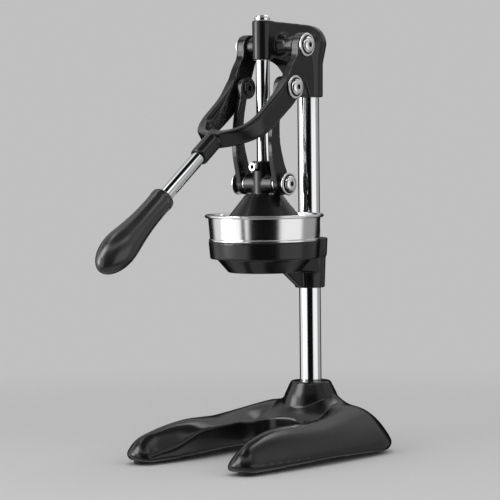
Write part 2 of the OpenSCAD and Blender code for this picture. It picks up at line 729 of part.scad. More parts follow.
module head_casting() {
    color(gloss_black) stand_frame() difference() {
        union() {
            translate([0, rod_y, guide_bottom_z]) cylinder(r = guide_r, h = guide_h);
            head_web();
            head_sleeve();
            at_pivot() x_bar(barrel_r, -(arm_in - play), arm_in - play);
            at_pivot() both_sides() translate([0.8 * web_half, 0, 0]) rotate([0, 90, 0])
                cylinder(r1 = 1.3 * barrel_r, r2 = barrel_r, h = 0.6 * web_half);
        }
        translate([0, 0, sleeve_bottom_z - cut])
            cylinder(r = column_r + slip, h = column_top_z - sleeve_bottom_z + cut);
        translate([0, rod_y, guide_bottom_z - head_h]) cylinder(r = rod_r + play, h = 3 * head_h);
        for (z = [guide_bottom_z - cut, head_top_z - bush_h])
            translate([0, rod_y, z]) cylinder(r = bush_r + slip, h = bush_h + cut);
        at_pivot() x_bar(shaft_r + slip, -2 * arm_in, 2 * arm_in);
        back_screw_places(sleeve_bottom_z, 0.5 * head_h) y_bore();
    }
}

module head_set_screws() {
    color(steel_grey) stand_frame() back_screw_places(sleeve_bottom_z, 0.5 * head_h) back_screw(sleeve_r);
}

// A plain bush that the guide rod slides in
module guide_bush(z) {
    color(bush_white) stand_frame() translate([0, rod_y, z]) difference() {
        cylinder(r = bush_r, h = bush_h);
        translate([0, 0, -cut]) cylinder(r = rod_r + slip, h = bush_h + 2 * cut);
    }
}

// The shaft through the cross barrel, tapped at both ends
module pivot_shaft() {
    color(steel_grey) stand_frame() at_pivot() difference() {
        x_bar(shaft_r, -shaft_half, shaft_half);
        both_sides() x_bar(shank_r + slip, shaft_half - shank_len, shaft_half + cut);
    }
}

// A pivot screw: shank, round head and key hole, pointing out along +X from a washer's face
shank_len = 2.6 * shank_r;
// Outside radius of the bushes and sleeve nuts that the middle pivot screws run in
mid_bush_r = 1.5 * shank_r;

module pivot_screw(x, shank) {
    dome = head_rise;
    difference() {
        union() {
            x_bar(shank_r, x - shank, x + 0.5 * dome);
            translate([x, 0, 0]) rotate([0, 90, 0]) rotate_extrude() polygon(concat(
                [[0, 0], [head_r, 0]],
                arc_points([0.55 * head_r, 0.3 * dome], 0.45 * head_r, 0.7 * dome, 0, 90, 6),
                [[0, dome]]
            ));
        }
        translate([x + 0.35 * dome, 0, 0]) rotate([0, 90, 0]) cylinder(r = key_w / sqrt(3), h = 2 * dome, $fn = 6);
    }
}

module pivot_washer(x) {
    difference() {
        translate([x, 0, 0]) rotate([0, 90, 0]) rotate_extrude() polygon([
            [0, 0], [washer_r, 0], [washer_r, 0.6 * washer_t], [washer_r - 0.4 * washer_t, washer_t],
            [0, washer_t]
        ]);
        x_bar(shank_r + slip, x - cut, x + washer_t + cut);
    }
}

module upper_pivot_washers() {
    color(chrome_grey) stand_frame() at_pivot() both_sides() pivot_washer(shaft_half);
}

module upper_pivot_screws() {
    color(chrome_grey) stand_frame() at_pivot() both_sides() pivot_screw(shaft_half + washer_t, shank_len);
}

// The press head: hub, cross boss and pressing bell in one casting

// Thickness of the thin washers between the links' feet and the cross boss
hub_washer_t = 1.1;
cross_half = link_in - play - hub_washer_t;
// Where the lower pivot screws end inside the boss, clear of the guide rod
lower_tip_x = rod_r + 4 * play + 0.5 * shank_r;
skirt_top_z = bell_bottom_z + bell_skirt_h;
rod_foot_z = bell_top_z - 0.3 * bell_wall;
hub_screw_z = hub_top_z - 0.25 * hub_rise;

module press_head() {
    color(gloss_black) stand_frame() translate([0, rod_y, 0]) difference() {
        union() {
            rotate_extrude($fn = 96) polygon([
                [0, bell_top_z - bell_wall], [0, bell_top_z], [bell_top_r, bell_top_z],
                [bell_r - 0.5 * bell_wall, skirt_top_z + 0.9 * bell_wall], [bell_r, skirt_top_z],
                [bell_r, bell_bottom_z], [bell_r - 0.6 * bell_wall, bell_bottom_z],
                [bell_r - bell_wall, bell_bottom_z + 0.4 * bell_wall], [bell_r - bell_wall, skirt_top_z - bell_wall],
                [0.55 * bell_top_r, bell_bore_top_z], [0, bell_bore_top_z]
            ]);
            translate([0, 0, bell_bore_top_z]) cylinder(r = hub_r, h = hub_top_z - bell_bore_top_z);
            translate([0, 0, cross_z]) x_bar(cross_r, -cross_half, cross_half);
            side_plate(-cross_half, cross_half) polygon([
                [-0.5 * cross_r, bell_top_z - 0.5 * bell_wall], [0.5 * cross_r, bell_top_z - 0.5 * bell_wall],
                [0.5 * cross_r, cross_z], [-0.5 * cross_r, cross_z]
            ]);
            for (i = [0 : bell_ribs - 1])
                rotate([0, 0, 360 * (i + 0.5) / bell_ribs]) rotate_extrude(angle = 40 / bell_ribs) polygon([
                    [0.5 * bell_top_r, bell_bore_top_z + 0.4 * bell_wall],
                    [bell_r - 0.8 * bell_wall, skirt_top_z - 0.9 * bell_wall],
                    [bell_r - 0.8 * bell_wall, skirt_top_z - 1.5 * bell_wall],
                    [bell_r - 1.25 * bell_wall, skirt_top_z - 1.5 * bell_wall],
                    [0.5 * bell_top_r, bell_bore_top_z - 0.35 * bell_wall]
                ]);
        }
        translate([0, 0, rod_foot_z]) cylinder(r = rod_r + slip, h = bell_h + hub_rise);
        translate([0, 0, cross_z]) both_sides() x_bar(shank_r + slip, lower_tip_x - play, cross_half + cut);
        translate([0, -rod_r, hub_screw_z]) rotate([90, 0, 0]) cylinder(r = set_screw_r + slip, h = 2 * hub_r);
    }
}

module guide_rod() {
    color(chrome_grey) stand_frame() translate([0, rod_y, rod_foot_z])
        cylinder(r = rod_r, h = head_top_z + play - rod_foot_z);
}

module rod_stop_cap() {
    cap_r = 1.11 * rod_r;
    h = stop_cap_h - play;
    color(chrome_grey) stand_frame() translate([0, rod_y, head_top_z + play]) rotate_extrude() polygon(concat(
        [[0, 0], [cap_r, 0], [cap_r, 0.45 * h]],
        arc_points([0.6 * cap_r, 0.45 * h], 0.4 * cap_r, 0.55 * h, 0, 90, 6),
        [[0, h]]
    ));
}

module hub_set_screw() {
    head = 1.45 * set_screw_r;
    stem = hub_r - rod_r - slip;
    color(chrome_grey) stand_frame() translate([0, rod_y - rod_r - slip, hub_screw_z]) rotate([90, 0, 0])
        difference() {
            union() {
                cylinder(r = set_screw_r, h = stem + 0.8 * head);
                translate([0, 0, stem + 0.5 * head]) cylinder(r = head, h = 1.1 * head);
            }
            translate([0, 0, stem + 0.9 * head]) cylinder(r = 0.6 * head, h = head, $fn = 6);
        }
}

// The yoke: fork arms, eyes and lever socket in one casting, in the lever's own frame

link_boss_u = crank_len * sin(crank_lean) * cos(lever_tilt) + crank_len * cos(crank_lean) * sin(lever_tilt);
link_boss_v = crank_len * sin(crank_lean) * sin(lever_tilt) - crank_len * cos(crank_lean) * cos(lever_tilt);
link_boss_r = 1.02 * eye_r;
// Upper and lower edges of an arm: forward and up from the pivot, as shares of the fork's length
arm_top_shares = [[0.12, 0.0], [0.22, -0.036], [0.32, -0.078], [0.47, -0.107], [0.62, -0.114], [0.75, -0.116], [0.88, -0.107]];
arm_under_shares = [[0.42, -0.278], [0.57, -0.284], [0.71, -0.277], [0.82, -0.258], [0.92, -0.232]];
// An arm draws in from the pivot's eye until it is past the boss for the link
draw_end_u = link_boss_u + link_boss_r + 1.6 * eye_r;
// The centre of the fork's rounded front
round_share = 0.69;
neck_out = 0.95 * arm_out;
neck_in = neck_out - arm_t;
// How far the arm has drawn in where it carries the link, and its flat seats there
seat_draw = (arm_out - neck_out) * (link_boss_u - eye_r) / (draw_end_u - eye_r);
mid_face = arm_out - seat_draw + 0.3 * washer_t;
mid_in = arm_in - 2 * seat_draw;

// Direction square to the line from the pivot to the link boss
boss_dir = [link_boss_u, link_boss_v] / crank_len;
boss_side = [-boss_dir[1], boss_dir[0]];

// A point forward and up from the pivot, in the lever frame's Y and Z
function lever_point(p) = [-p[0], p[1]];

module arm_outline() {
    top = smooth_line(concat([boss_side * eye_r], [for (s = arm_top_shares) s * fork_len],
                             [[fork_len, mouth_r - lever_drop]]), 3);
    under = smooth_line(concat([for (s = arm_under_shares) s * fork_len],
                               [[fork_len, -mouth_r - lever_drop]]), 3);
    pts = concat(top, reversed(under), [[link_boss_u, link_boss_v] - boss_side * link_boss_r,
                                        -boss_side * eye_r]);
    polygon([for (p = pts) lever_point(p)]);
    circle(r = eye_r);
    translate(lever_point([link_boss_u, link_boss_v])) circle(r = link_boss_r);
}

module fork_plan() {
    back = eye_r + cut;
    mid = round_share * fork_len;
    outer = concat(
        [[arm_out, back], [arm_out, -eye_r], [neck_out, -draw_end_u]],
        arc_points([0, -mid], neck_out, fork_len - mid, 0, -90, 12)
    );
    inner = concat(
        [[arm_in, back + cut], [arm_in, -eye_r], [neck_in, -draw_end_u]],
        arc_points([0, -mid], neck_in, fork_len - mid - 0.95 * arm_t, 0, -90, 12)
    );
    difference() {
        polygon(concat(outer, mirrored_x(outer)));
        polygon(concat(inner, mirrored_x(inner)));
    }
}

tube_start_u = fork_len - 0.1 * mouth_len;
tube_end_u = nose_u;
mouth_u = fork_len + mouth_len;
grip_start_u = lever_reach - grip_len;
lever_screw_u = fork_len + 0.55 * mouth_len;

// A round bar along the lever tube's axis
module u_bar(r, u0, u1) {
    translate([0, -u0, -lever_drop]) rotate([90, 0, 0]) cylinder(r = r, h = u1 - u0);
}

module yoke_casting() {
    color(gloss_black) stand_frame() at_lever() difference() {
        union() {
            intersection() {
                side_plate(-arm_out, arm_out) arm_outline();
                translate([0, 0, -fork_len]) linear_extrude(height = 2 * fork_len) fork_plan();
            }
            u_bar(mouth_r, fork_len - 0.9 * arm_t, mouth_u);
            both_sides() translate([0, -link_boss_u, link_boss_v])
                x_bar(0.78 * washer_r, mid_in, mid_face);
        }
        u_bar(lever_r + slip, tube_start_u, mouth_u + cut);
        x_bar(eye_bush_r + slip, -2 * arm_out, 2 * arm_out);
        translate([0, -link_boss_u, link_boss_v]) x_bar(mid_bush_r + slip, -2 * arm_out, 2 * arm_out);
        translate([0, -lever_screw_u, -lever_drop]) rotate([180, 0, 0]) cylinder(r = set_screw_r + slip, h = 2 * mouth_r);
    }
}

// Bushes in the yoke's eyes, running on the shaft
eye_bush_r = shaft_r + 0.28 * shaft_r;

module yoke_bush(side) {
    color(bush_white) stand_frame() at_pivot() scale_side(side) difference() {
        x_bar(eye_bush_r, arm_in, arm_out);
        x_bar(shaft_r + slip, arm_in - cut, arm_out + cut);
    }
}

module scale_side(side) {
    mirror([side < 0 ? 1 : 0, 0, 0]) children();
}

module lever_set_screw() {
    len = mouth_r - lever_r - slip;
    color(steel_grey) stand_frame() at_lever() translate([0, -lever_screw_u, -lever_drop - lever_r - slip])
        rotate([180, 0, 0]) difference() {
            cylinder(r = set_screw_r, h = len);
            translate([0, 0, 0.35 * len]) cylinder(r = 0.55 * set_screw_r, h = len, $fn = 6);
        }
}

module lever_tube() {
    color(chrome_grey) stand_frame() at_lever() difference() {
        u_bar(lever_r, tube_start_u + slip, tube_end_u);
        u_bar(lever_r - lever_wall, tube_start_u - cut, tube_end_u + cut);
    }
}

// The grip's radius along its length, as shares of its length and of its largest radius
grip_shares = [
    [0, 0.63], [0.014, 0.69], [0.035, 0.714], [0.06, 0.71], [0.1, 0.693], [0.17, 0.69], [0.26, 0.703],
    [0.34, 0.733], [0.42, 0.782], [0.5, 0.843], [0.58, 0.915], [0.645, 0.973], [0.709, 1]
];

module grip() {
    body = smooth_line([for (s = grip_shares) [grip_r * s[1], grip_len * s[0]]], 3);
    nose = arc_points([0, grip_len - nose_len], grip_r, nose_len, 0, 90, 16);
    color(rubber_black) stand_frame() at_lever() difference() {
        translate([0, -grip_start_u, -lever_drop]) rotate([90, 0, 0]) rotate_extrude(convexity = 4)
            polygon(concat([[0, body[0][1]]], body, nose));
        u_bar(lever_r + slip, grip_start_u - cut, tube_end_u + slip);
    }
}

module grip_ferrule() {
    color(gloss_black) stand_frame() at_lever() difference() {
        u_bar(0.5 * grip_r, grip_start_u - 0.014 * grip_len, grip_start_u - slip);
        u_bar(lever_r + slip, grip_start_u - grip_r, grip_start_u + grip_r);
    }
}

// The middle pivots: screw, washer and bush in the fork's boss, sleeve nut and spacer in the link

nut_head_r = 0.74 * link_eye_r;
// Thickness of the sleeve nuts' flat heads
nut_head_t = 1.8;

module mid_bush(side) {
    color(bush_white) stand_frame() at_link_pivot() scale_side(side) difference() {
        x_bar(mid_bush_r, mid_in, mid_face);
        x_bar(shank_r + slip, mid_in - cut, mid_face + cut);
    }
}

module mid_nut(side) {
    head_x = link_in - nut_head_t;
    color(gloss_black) stand_frame() at_link_pivot() scale_side(side) difference() {
        union() {
            x_bar(nut_head_r, head_x, link_in - slip);
            x_bar(mid_bush_r, head_x, mid_in - play);
        }
        translate([head_x - cut, 0, 0]) rotate([0, 90, 0])
            cylinder(r = key_w / sqrt(3), h = cut + key_w, $fn = 6);
    }
}

module mid_spacer(side) {
    color(gloss_black) stand_frame() at_link_pivot() scale_side(side) difference() {
        x_bar(0.9 * link_eye_r, link_in + link_t + slip, mid_in - play);
        x_bar(mid_bush_r + slip, link_in, arm_out);
    }
}

module mid_pivot_washers() {
    color(chrome_grey) stand_frame() at_link_pivot() both_sides() pivot_washer(mid_face);
}

module mid_pivot_screws() {
    color(chrome_grey) stand_frame() at_link_pivot() both_sides()
        pivot_screw(mid_face + washer_t, mid_face + washer_t - mid_in);
}

// The links: bowed bars, each with an eye at both ends

// Front and back edges of a link: down from its upper pivot and forward, as shares of its length
link_front_shares = [[0.12, 0.125], [0.25, 0.166], [0.41, 0.191], [0.57, 0.2], [0.72, 0.188], [0.87, 0.15]];
link_back_shares = [[0.13, 0.03], [0.34, 0.072], [0.58, 0.063], [0.8, -0.01]];
foot_boss_r = 0.72 * link_foot_r;
foot_boss_t = 0.85 * link_t;

module link_outline() {
    front = smooth_line([for (s = link_front_shares) [-s[1], -s[0]] * link_len], 3);
    back = smooth_line([for (s = link_back_shares) [-s[1], -s[0]] * link_len], 3);
    polygon(concat(
        [[-link_eye_r, 0]], front, [[-link_foot_r, -link_len], [link_foot_r, -link_len]], reversed(back),
        [[0.2 * link_eye_r, 0]]
    ));
    circle(r = link_eye_r);
    translate([0, -link_len]) circle(r = link_foot_r);
}

module link_bar(side) {
    face = link_in + link_t;
    color(gloss_black) stand_frame() at_link_pivot() rotate([link_tilt, 0, 0]) scale_side(side) difference() {
        union() {
            side_plate(link_in, face) link_outline();
            translate([0, 0, -link_len]) x_bar(foot_boss_r, link_in, face + foot_boss_t);
        }
        x_bar(mid_bush_r + slip, link_in - cut, face + cut);
        translate([0, 0, -link_len]) x_bar(shank_r + slip, link_in - cut, face + foot_boss_t + cut);
    }
}

// The lower pivots: each screw stands in the cross boss and its link turns on the shank

foot_face = link_in + link_t + foot_boss_t + play;

module lower_pivot_washers() {
    color(chrome_grey) stand_frame() at_cross() both_sides() pivot_washer(foot_face);
}

module lower_pivot_screws() {
    color(chrome_grey) stand_frame() at_cross() both_sides()
        pivot_screw(foot_face + washer_t, foot_face + washer_t - lower_tip_x);
}

// The thin washers between the links' feet and the cross boss
module hub_washers() {
    color(chrome_grey) stand_frame() at_cross() both_sides() difference() {
        x_bar(0.92 * link_foot_r, cross_half, link_in - play);
        x_bar(shank_r + slip, cross_half - cut, link_in + cut);
    }
}

base_casting();
foot(-1, true);  // foot_front_left
foot(1, true);  // foot_front_right
foot(-1, false);  // foot_rear_left
foot(1, false);  // foot_rear_right
foot_screws();
column_tube();
column_plug();
column_washer();
column_bolt();
bowl_holder();
holder_set_screws();
strainer_bowl();
reamer_cone();
reamer_nut();
head_casting();
head_set_screws();
guide_bush(head_top_z - bush_h);  // guide_bush_upper
guide_bush(guide_bottom_z);  // guide_bush_lower
pivot_shaft();
upper_pivot_washers();
upper_pivot_screws();
press_head();
guide_rod();
rod_stop_cap();
hub_set_screw();
yoke_casting();
yoke_bush(-1);  // yoke_bush_left
yoke_bush(1);  // yoke_bush_right
lever_set_screw();
lever_tube();
grip();
grip_ferrule();
mid_bush(-1);  // mid_bush_left
mid_bush(1);  // mid_bush_right
mid_pivot_washers();
mid_pivot_screws();
link_bar(-1);  // link_left
mid_nut(-1);  // mid_nut_left
mid_spacer(-1);  // mid_spacer_left
link_bar(1);  // link_right
mid_nut(1);  // mid_nut_right
mid_spacer(1);  // mid_spacer_right
lower_pivot_washers();
lower_pivot_screws();
hub_washers();
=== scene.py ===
# %% [markdown]
# This lesson dresses a lever citrus press: black enamelled castings, chromed tubes and
# screws, a polished steel bowl and a moulded grip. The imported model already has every
# piece at its real size and place, in metres. So nothing here moves a part: the lesson
# only gives each one the surface and the small roundings that the real one has.
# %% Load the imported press
import json
import math

import bmesh
import bpy
from mathutils import Matrix, Vector


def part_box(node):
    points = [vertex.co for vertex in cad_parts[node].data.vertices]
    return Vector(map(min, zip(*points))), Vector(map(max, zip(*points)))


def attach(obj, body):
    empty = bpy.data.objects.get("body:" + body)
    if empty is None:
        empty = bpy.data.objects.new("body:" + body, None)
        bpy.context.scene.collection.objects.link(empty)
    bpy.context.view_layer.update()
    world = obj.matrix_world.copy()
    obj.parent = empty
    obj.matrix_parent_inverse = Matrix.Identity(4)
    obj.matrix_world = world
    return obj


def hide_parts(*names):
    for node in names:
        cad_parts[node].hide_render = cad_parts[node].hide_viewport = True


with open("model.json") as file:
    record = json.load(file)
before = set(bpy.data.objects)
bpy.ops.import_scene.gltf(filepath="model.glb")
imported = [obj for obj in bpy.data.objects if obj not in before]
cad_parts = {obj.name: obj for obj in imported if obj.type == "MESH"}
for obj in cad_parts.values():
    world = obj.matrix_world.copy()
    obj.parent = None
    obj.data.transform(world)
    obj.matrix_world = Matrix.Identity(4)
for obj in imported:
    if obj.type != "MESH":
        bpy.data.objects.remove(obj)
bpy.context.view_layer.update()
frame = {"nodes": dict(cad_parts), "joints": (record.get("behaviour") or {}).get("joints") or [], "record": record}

print("pieces in the packed press:", len(frame["nodes"]))

# %% [markdown]
# The press was modelled about its column, and then pushed back so that the origin lies
# under the middle of the whole thing. Most places below are worked out from the boxes of
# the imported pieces, so that a change of size in the model carries through to here.
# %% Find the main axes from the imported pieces
MM = 0.001
column_low, column_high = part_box("column_tube")
rod_low, rod_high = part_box("guide_rod")
COLUMN_AXIS = Vector((0, (column_low.y + column_high.y) / 2, 0))
ROD_AXIS = Vector((0, (rod_low.y + rod_high.y) / 2, 0))
joint_places = {j["name"]: Vector(j["pos_m"]) for j in frame["joints"] if "pos_m" in j}
LEVER_PIVOT = joint_places["lever_hinge"]
FOOT_PIVOT = joint_places["link_left_hinge"]
nut_low, nut_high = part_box("mid_nut_left")
MIDDLE_PIVOT = Vector((0, (nut_low.y + nut_high.y) / 2, (nut_low.z + nut_high.z) / 2))
LEVER_SLOPE = math.radians(36)
print("column at y", round(COLUMN_AXIS.y, 4), "rod at y", round(ROD_AXIS.y, 4))

# %% [markdown]
# ## Camera
# The photo was taken from the front right, a little above the bowl, with a long lens.
# The camera is set from its place, the way it looks and a small roll, instead of being
# aimed at a target by eye, because those numbers came from fitting the known sizes of
# the press to the picture.
# %% Set the camera
VIEW_TURN = math.radians(39.546)
VIEW_DIP = math.radians(2.955)
VIEW_ROLL = math.radians(0.607)
CAMERA_PLACE = Vector((1.48646, COLUMN_AXIS.y - 1.89783, 0.33282))
SENSOR_MM, FOCAL_PIXELS, FRAME_PIXELS = 36, 2313.1, 500
LENS_MM = SENSOR_MM * FOCAL_PIXELS / FRAME_PIXELS

looking = Vector((-math.sin(VIEW_TURN) * math.cos(VIEW_DIP),
                  math.cos(VIEW_TURN) * math.cos(VIEW_DIP), -math.sin(VIEW_DIP)))
level = Vector((math.cos(VIEW_TURN), math.sin(VIEW_TURN), 0))
upright = level.cross(looking)
camera_x = math.cos(VIEW_ROLL) * level - math.sin(VIEW_ROLL) * upright
camera_y = math.sin(VIEW_ROLL) * level + math.cos(VIEW_ROLL) * upright
camera_data = bpy.data.cameras.new("photo_camera")
camera_data.lens = LENS_MM
camera = bpy.data.objects.new("photo_camera", camera_data)
camera.matrix_world = (Matrix.Translation(CAMERA_PLACE)
                       @ Matrix((camera_x, camera_y, -looking)).transposed().to_4x4())
bpy.context.scene.collection.objects.link(camera)
bpy.context.scene.camera = camera
bpy.context.scene.view_settings.view_transform = "Standard"
print("camera lens", round(LENS_MM, 1), "mm")

# %% [markdown]
# ## Shader helpers
# A material is a small network of nodes. Writing each node out by hand hides the idea,
# so these helpers add one node, set its plain numbers and wire its inputs in one line.
# An input that has no name of its own, as in a sum, is given by its number.
# %% Define helpers for nodes
def add_node(tree, kind, settings=None, inputs=None, links=None):
    made = tree.nodes.new(kind)
    for name, value in (settings or {}).items():
        setattr(made, name, value)
    for name, value in (inputs or {}).items():
        made.inputs[name].default_value = value
    for name, source in (links or {}).items():
        tree.links.new(source, made.inputs[name])
    return made


def maths(tree, operation, *values):
    wired = {i: v for i, v in enumerate(values) if isinstance(v, bpy.types.NodeSocket)}
    plain = {i: v for i, v in enumerate(values) if i not in wired}
    return add_node(tree, "ShaderNodeMath", {"operation": operation}, plain, wired).outputs["Value"]


def new_material(name, colour, metallic, roughness, **sockets):
    made = bpy.data.materials.new(name)
    made.use_nodes = True
    surface = made.node_tree.nodes["Principled BSDF"]
    surface.inputs["Base Color"].default_value = (*colour, 1)
    surface.inputs["Metallic"].default_value = metallic
    surface.inputs["Roughness"].default_value = roughness
    for socket, value in sockets.items():
        surface.inputs[socket.replace("_", " ")].default_value = value
    return made, made.node_tree, surface


def node_group(name, inputs, outputs):
    """A group with named sockets, its two ends, and a node for the place on the object."""
    group = bpy.data.node_groups.new(name, "ShaderNodeTree")
    for in_out, sockets in (("INPUT", inputs), ("OUTPUT", outputs)):
        for socket, kind in sockets.items():
            group.interface.new_socket(socket, in_out=in_out, socket_type="NodeSocket" + kind)
    return group, *(add_node(group, kind) for kind in
                    ("NodeGroupInput", "NodeGroupOutput", "ShaderNodeTexCoord"))


def blank_tree(owner):
    """The node tree of a material or a world, emptied."""
    owner.use_nodes = True
    owner.node_tree.nodes.clear()
    return owner.node_tree

print("node helpers ready")

# %% [markdown]
# Enamel on a casting is never optically flat. Under the gloss lie slow swellings left by
# the sand mould and a fine orange peel from the stove, and the sheen varies with both.
# Cast parts, moulded parts and rubber all need this with other strengths, so it is one
# node group with named inputs, built once and placed in each material.
# %% Build the group for a skin with swellings and fine peel
skin, skin_in, skin_out, place = node_group(
    "moulded_skin",
    {"Swelling Scale": "Float", "Peel Scale": "Float", "Swelling Share": "Float",
     "Sheen Low": "Float", "Sheen High": "Float", "Dark Colour": "Color", "Light Colour": "Color"},
    {"Colour": "Color", "Roughness": "Float", "Height": "Float"})
swelling = add_node(skin, "ShaderNodeTexNoise", inputs={"Detail": 2.0, "Roughness": 0.45},
                    links={"Vector": place.outputs["Object"],
                           "Scale": skin_in.outputs["Swelling Scale"]})
peel = add_node(skin, "ShaderNodeTexNoise", inputs={"Detail": 3.0, "Roughness": 0.55},
                links={"Vector": place.outputs["Object"],
                       "Scale": skin_in.outputs["Peel Scale"]})
blend = add_node(skin, "ShaderNodeMix", {"data_type": "FLOAT"},
                 links={"Factor": skin_in.outputs["Swelling Share"], "A": peel.outputs["Fac"],
                        "B": swelling.outputs["Fac"]})
sheen = add_node(skin, "ShaderNodeMapRange", inputs={"From Min": 0.3, "From Max": 0.7},
                 links={"Value": swelling.outputs["Fac"], "To Min": skin_in.outputs["Sheen Low"],
                        "To Max": skin_in.outputs["Sheen High"]})
tone = add_node(skin, "ShaderNodeMix", {"data_type": "RGBA"},
                links={"Factor": peel.outputs["Fac"], "A": skin_in.outputs["Dark Colour"],
                       "B": skin_in.outputs["Light Colour"]})
skin.links.new(tone.outputs["Result"], skin_out.inputs["Colour"])
skin.links.new(sheen.outputs["Result"], skin_out.inputs["Roughness"])
skin.links.new(blend.outputs["Result"], skin_out.inputs["Height"])
print("group", skin.name, "has", len(skin.nodes), "nodes")

# %% [markdown]
# Bright metal tells its story through its scratches: polishing leaves fine lines along
# one direction, and hands and cloths leave faint smears. Stretching a noise pattern
# along one axis gives lines. The stretch is an input, so that tubes get lines along
# their length and the spun bowl gets lines round it.
# %% Build the group for polished metal
polish, polish_in, polish_out, place = node_group(
    "polish_lines",
    {"Stretch": "Vector", "Line Scale": "Float", "Smear Scale": "Float", "Rough Low": "Float",
     "Rough High": "Float"},
    {"Roughness": "Float", "Height": "Float"})
stretched = add_node(polish, "ShaderNodeVectorMath", {"operation": "MULTIPLY"},
                     links={0: place.outputs["Object"], 1: polish_in.outputs["Stretch"]})
lines = add_node(polish, "ShaderNodeTexNoise", inputs={"Detail": 4.0, "Roughness": 0.6},
                 links={"Vector": stretched.outputs["Vector"],
                        "Scale": polish_in.outputs["Line Scale"]})
smears = add_node(polish, "ShaderNodeTexNoise", inputs={"Detail": 3.0, "Distortion": 0.6},
                  links={"Vector": place.outputs["Object"],
                         "Scale": polish_in.outputs["Smear Scale"]})
both = add_node(polish, "ShaderNodeMix", {"data_type": "FLOAT"}, inputs={"Factor": 0.45},
                links={"A": lines.outputs["Fac"], "B": smears.outputs["Fac"]})
dulling = add_node(polish, "ShaderNodeMapRange", inputs={"From Min": 0.35, "From Max": 0.65},
                   links={"Value": both.outputs["Result"], "To Min": polish_in.outputs["Rough Low"],
                          "To Max": polish_in.outputs["Rough High"]})
polish.links.new(dulling.outputs["Result"], polish_out.inputs["Roughness"])
polish.links.new(lines.outputs["Fac"], polish_out.inputs["Height"])
print("group", polish.name, "has", len(polish.nodes), "nodes")

# %% [markdown]
# ## Materials
# Every material of the press is made alike: one of the two groups gives the roughness
# and the height of the surface, the skin group gives its colour too, and a bump turns the
# height into light and shade. What differs goes in as values, so one maker does for all.
# %% Define how a material takes its surface from a group
def surfaced_material(name, colour, metallic, roughness, effect, values, bump_mm, **sockets):
    made, tree, surface = new_material(name, colour, metallic, roughness, **sockets)
    group = add_node(tree, "ShaderNodeGroup", {"node_tree": effect}, inputs=values)
    bump = add_node(tree, "ShaderNodeBump", inputs={"Strength": 1.0, "Distance": bump_mm * MM},
                    links={"Height": group.outputs["Height"]})
    if "Colour" in group.outputs:
        tree.links.new(group.outputs["Colour"], surface.inputs["Base Color"])
    tree.links.new(group.outputs["Roughness"], surface.inputs["Roughness"])
    tree.links.new(bump.outputs["Normal"], surface.inputs["Normal"])
    return made

print("material maker ready")

# %% [markdown]
# The black enamel is nearly black all through. Its highlights in the photo are narrow and
# soft at the edges, so the body itself is fairly smooth, and a thin coat only adds a
# little sharp shine. Its skin is almost all slow swelling, with a trace of fine peel.
# %% Make the enamel, the grip plastic and the rubber
def skinned_material(name, scales, share, sheen, tones, bump_mm, metallic=0.0, **sockets):
    """Scales are of swelling and peel; sheen and tones each have a low and a high end."""
    values = {"Swelling Scale": scales[0], "Peel Scale": scales[1], "Swelling Share": share,
              "Sheen Low": sheen[0], "Sheen High": sheen[1],
              "Dark Colour": (*tones[0], 1), "Light Colour": (*tones[1], 1)}
    return surfaced_material(name, tones[1], metallic, sheen[0], skin, values, bump_mm, **sockets)

enamel = skinned_material(
    "black_stove_enamel", (45.0, 600.0), 0.99, (0.2, 0.28),
    ((0.003, 0.003, 0.0035), (0.007, 0.007, 0.0075)), 0.12,
    Coat_Weight=0.2, Coat_Roughness=0.1, Specular_IOR_Level=0.42)
grip_plastic = skinned_material(
    "satin_grip_plastic", (60.0, 2600.0), 0.3, (0.2, 0.26),
    ((0.011, 0.011, 0.0115), (0.021, 0.021, 0.0215)), 0.03, Specular_IOR_Level=0.7)
rubber = skinned_material(
    "foot_rubber", (90.0, 1800.0), 0.3, (0.55, 0.75),
    ((0.012, 0.012, 0.012), (0.03, 0.03, 0.03)), 0.05, Specular_IOR_Level=0.35)
bush_plastic = skinned_material(
    "bearing_plastic", (90.0, 1800.0), 0.3, (0.4, 0.55),
    ((0.7, 0.69, 0.63), (0.8, 0.79, 0.73)), 0.03, Specular_IOR_Level=0.5)
cast_aluminium = skinned_material(
    "tumbled_aluminium", (80.0, 1500.0), 0.4, (0.3, 0.45),
    ((0.6, 0.6, 0.62), (0.76, 0.76, 0.78)), 0.06, metallic=1.0)
print("skinned materials ready")

# %% [markdown]
# Chrome is a perfect place to over-do scratches. In the photo the tubes show hard black
# and white stripes with clean edges, so the lines stay faint and the roughness low. The
# steel bowl is a little duller, with its lines running round it from spinning. Sockets
# and grooves get a near-black material of painted shade, for the shade that falls in them.
# %% Make the chrome and the steels
LINES_ALONG_Z, LINES_ROUND_Z, NO_LINES = (1.0, 1.0, 0.05), (0.04, 0.04, 1.0), (1.0, 1.0, 1.0)
SMEAR_SCALE = 40.0


def polished_material(name, colour, stretch, line_scale, rough, bump_mm):
    values = {"Stretch": stretch, "Line Scale": line_scale, "Smear Scale": SMEAR_SCALE,
              "Rough Low": rough[0], "Rough High": rough[1]}
    return surfaced_material(name, colour, 1.0, rough[0], polish, values, bump_mm)

chrome = polished_material(
    "bright_chrome", (0.86, 0.87, 0.88), LINES_ALONG_Z, 1400.0, (0.08, 0.12), 0.0004)
satin_chrome = polished_material(
    "satin_chrome", (0.93, 0.93, 0.94), NO_LINES, 1400.0, (0.2, 0.27), 0.001)
bowl_steel = polished_material(
    "spun_bowl_steel", (0.8, 0.8, 0.81), LINES_ROUND_Z, 2200.0, (0.15, 0.19), 0.001)
plain_steel = polished_material(
    "plain_steel", (0.56, 0.56, 0.58), NO_LINES, 900.0, (0.25, 0.4), 0.01)
# Painted shade: a near-black material for the faces inside sockets and washer grooves.
recess_painted_shade = skinned_material(
    "painted_recess_shade", (300.0, 3000.0), 0.4, (0.5, 0.7),
    ((0.006, 0.006, 0.006), (0.018, 0.017, 0.016)), 0.03, Specular_IOR_Level=0.3)
print("metals ready")

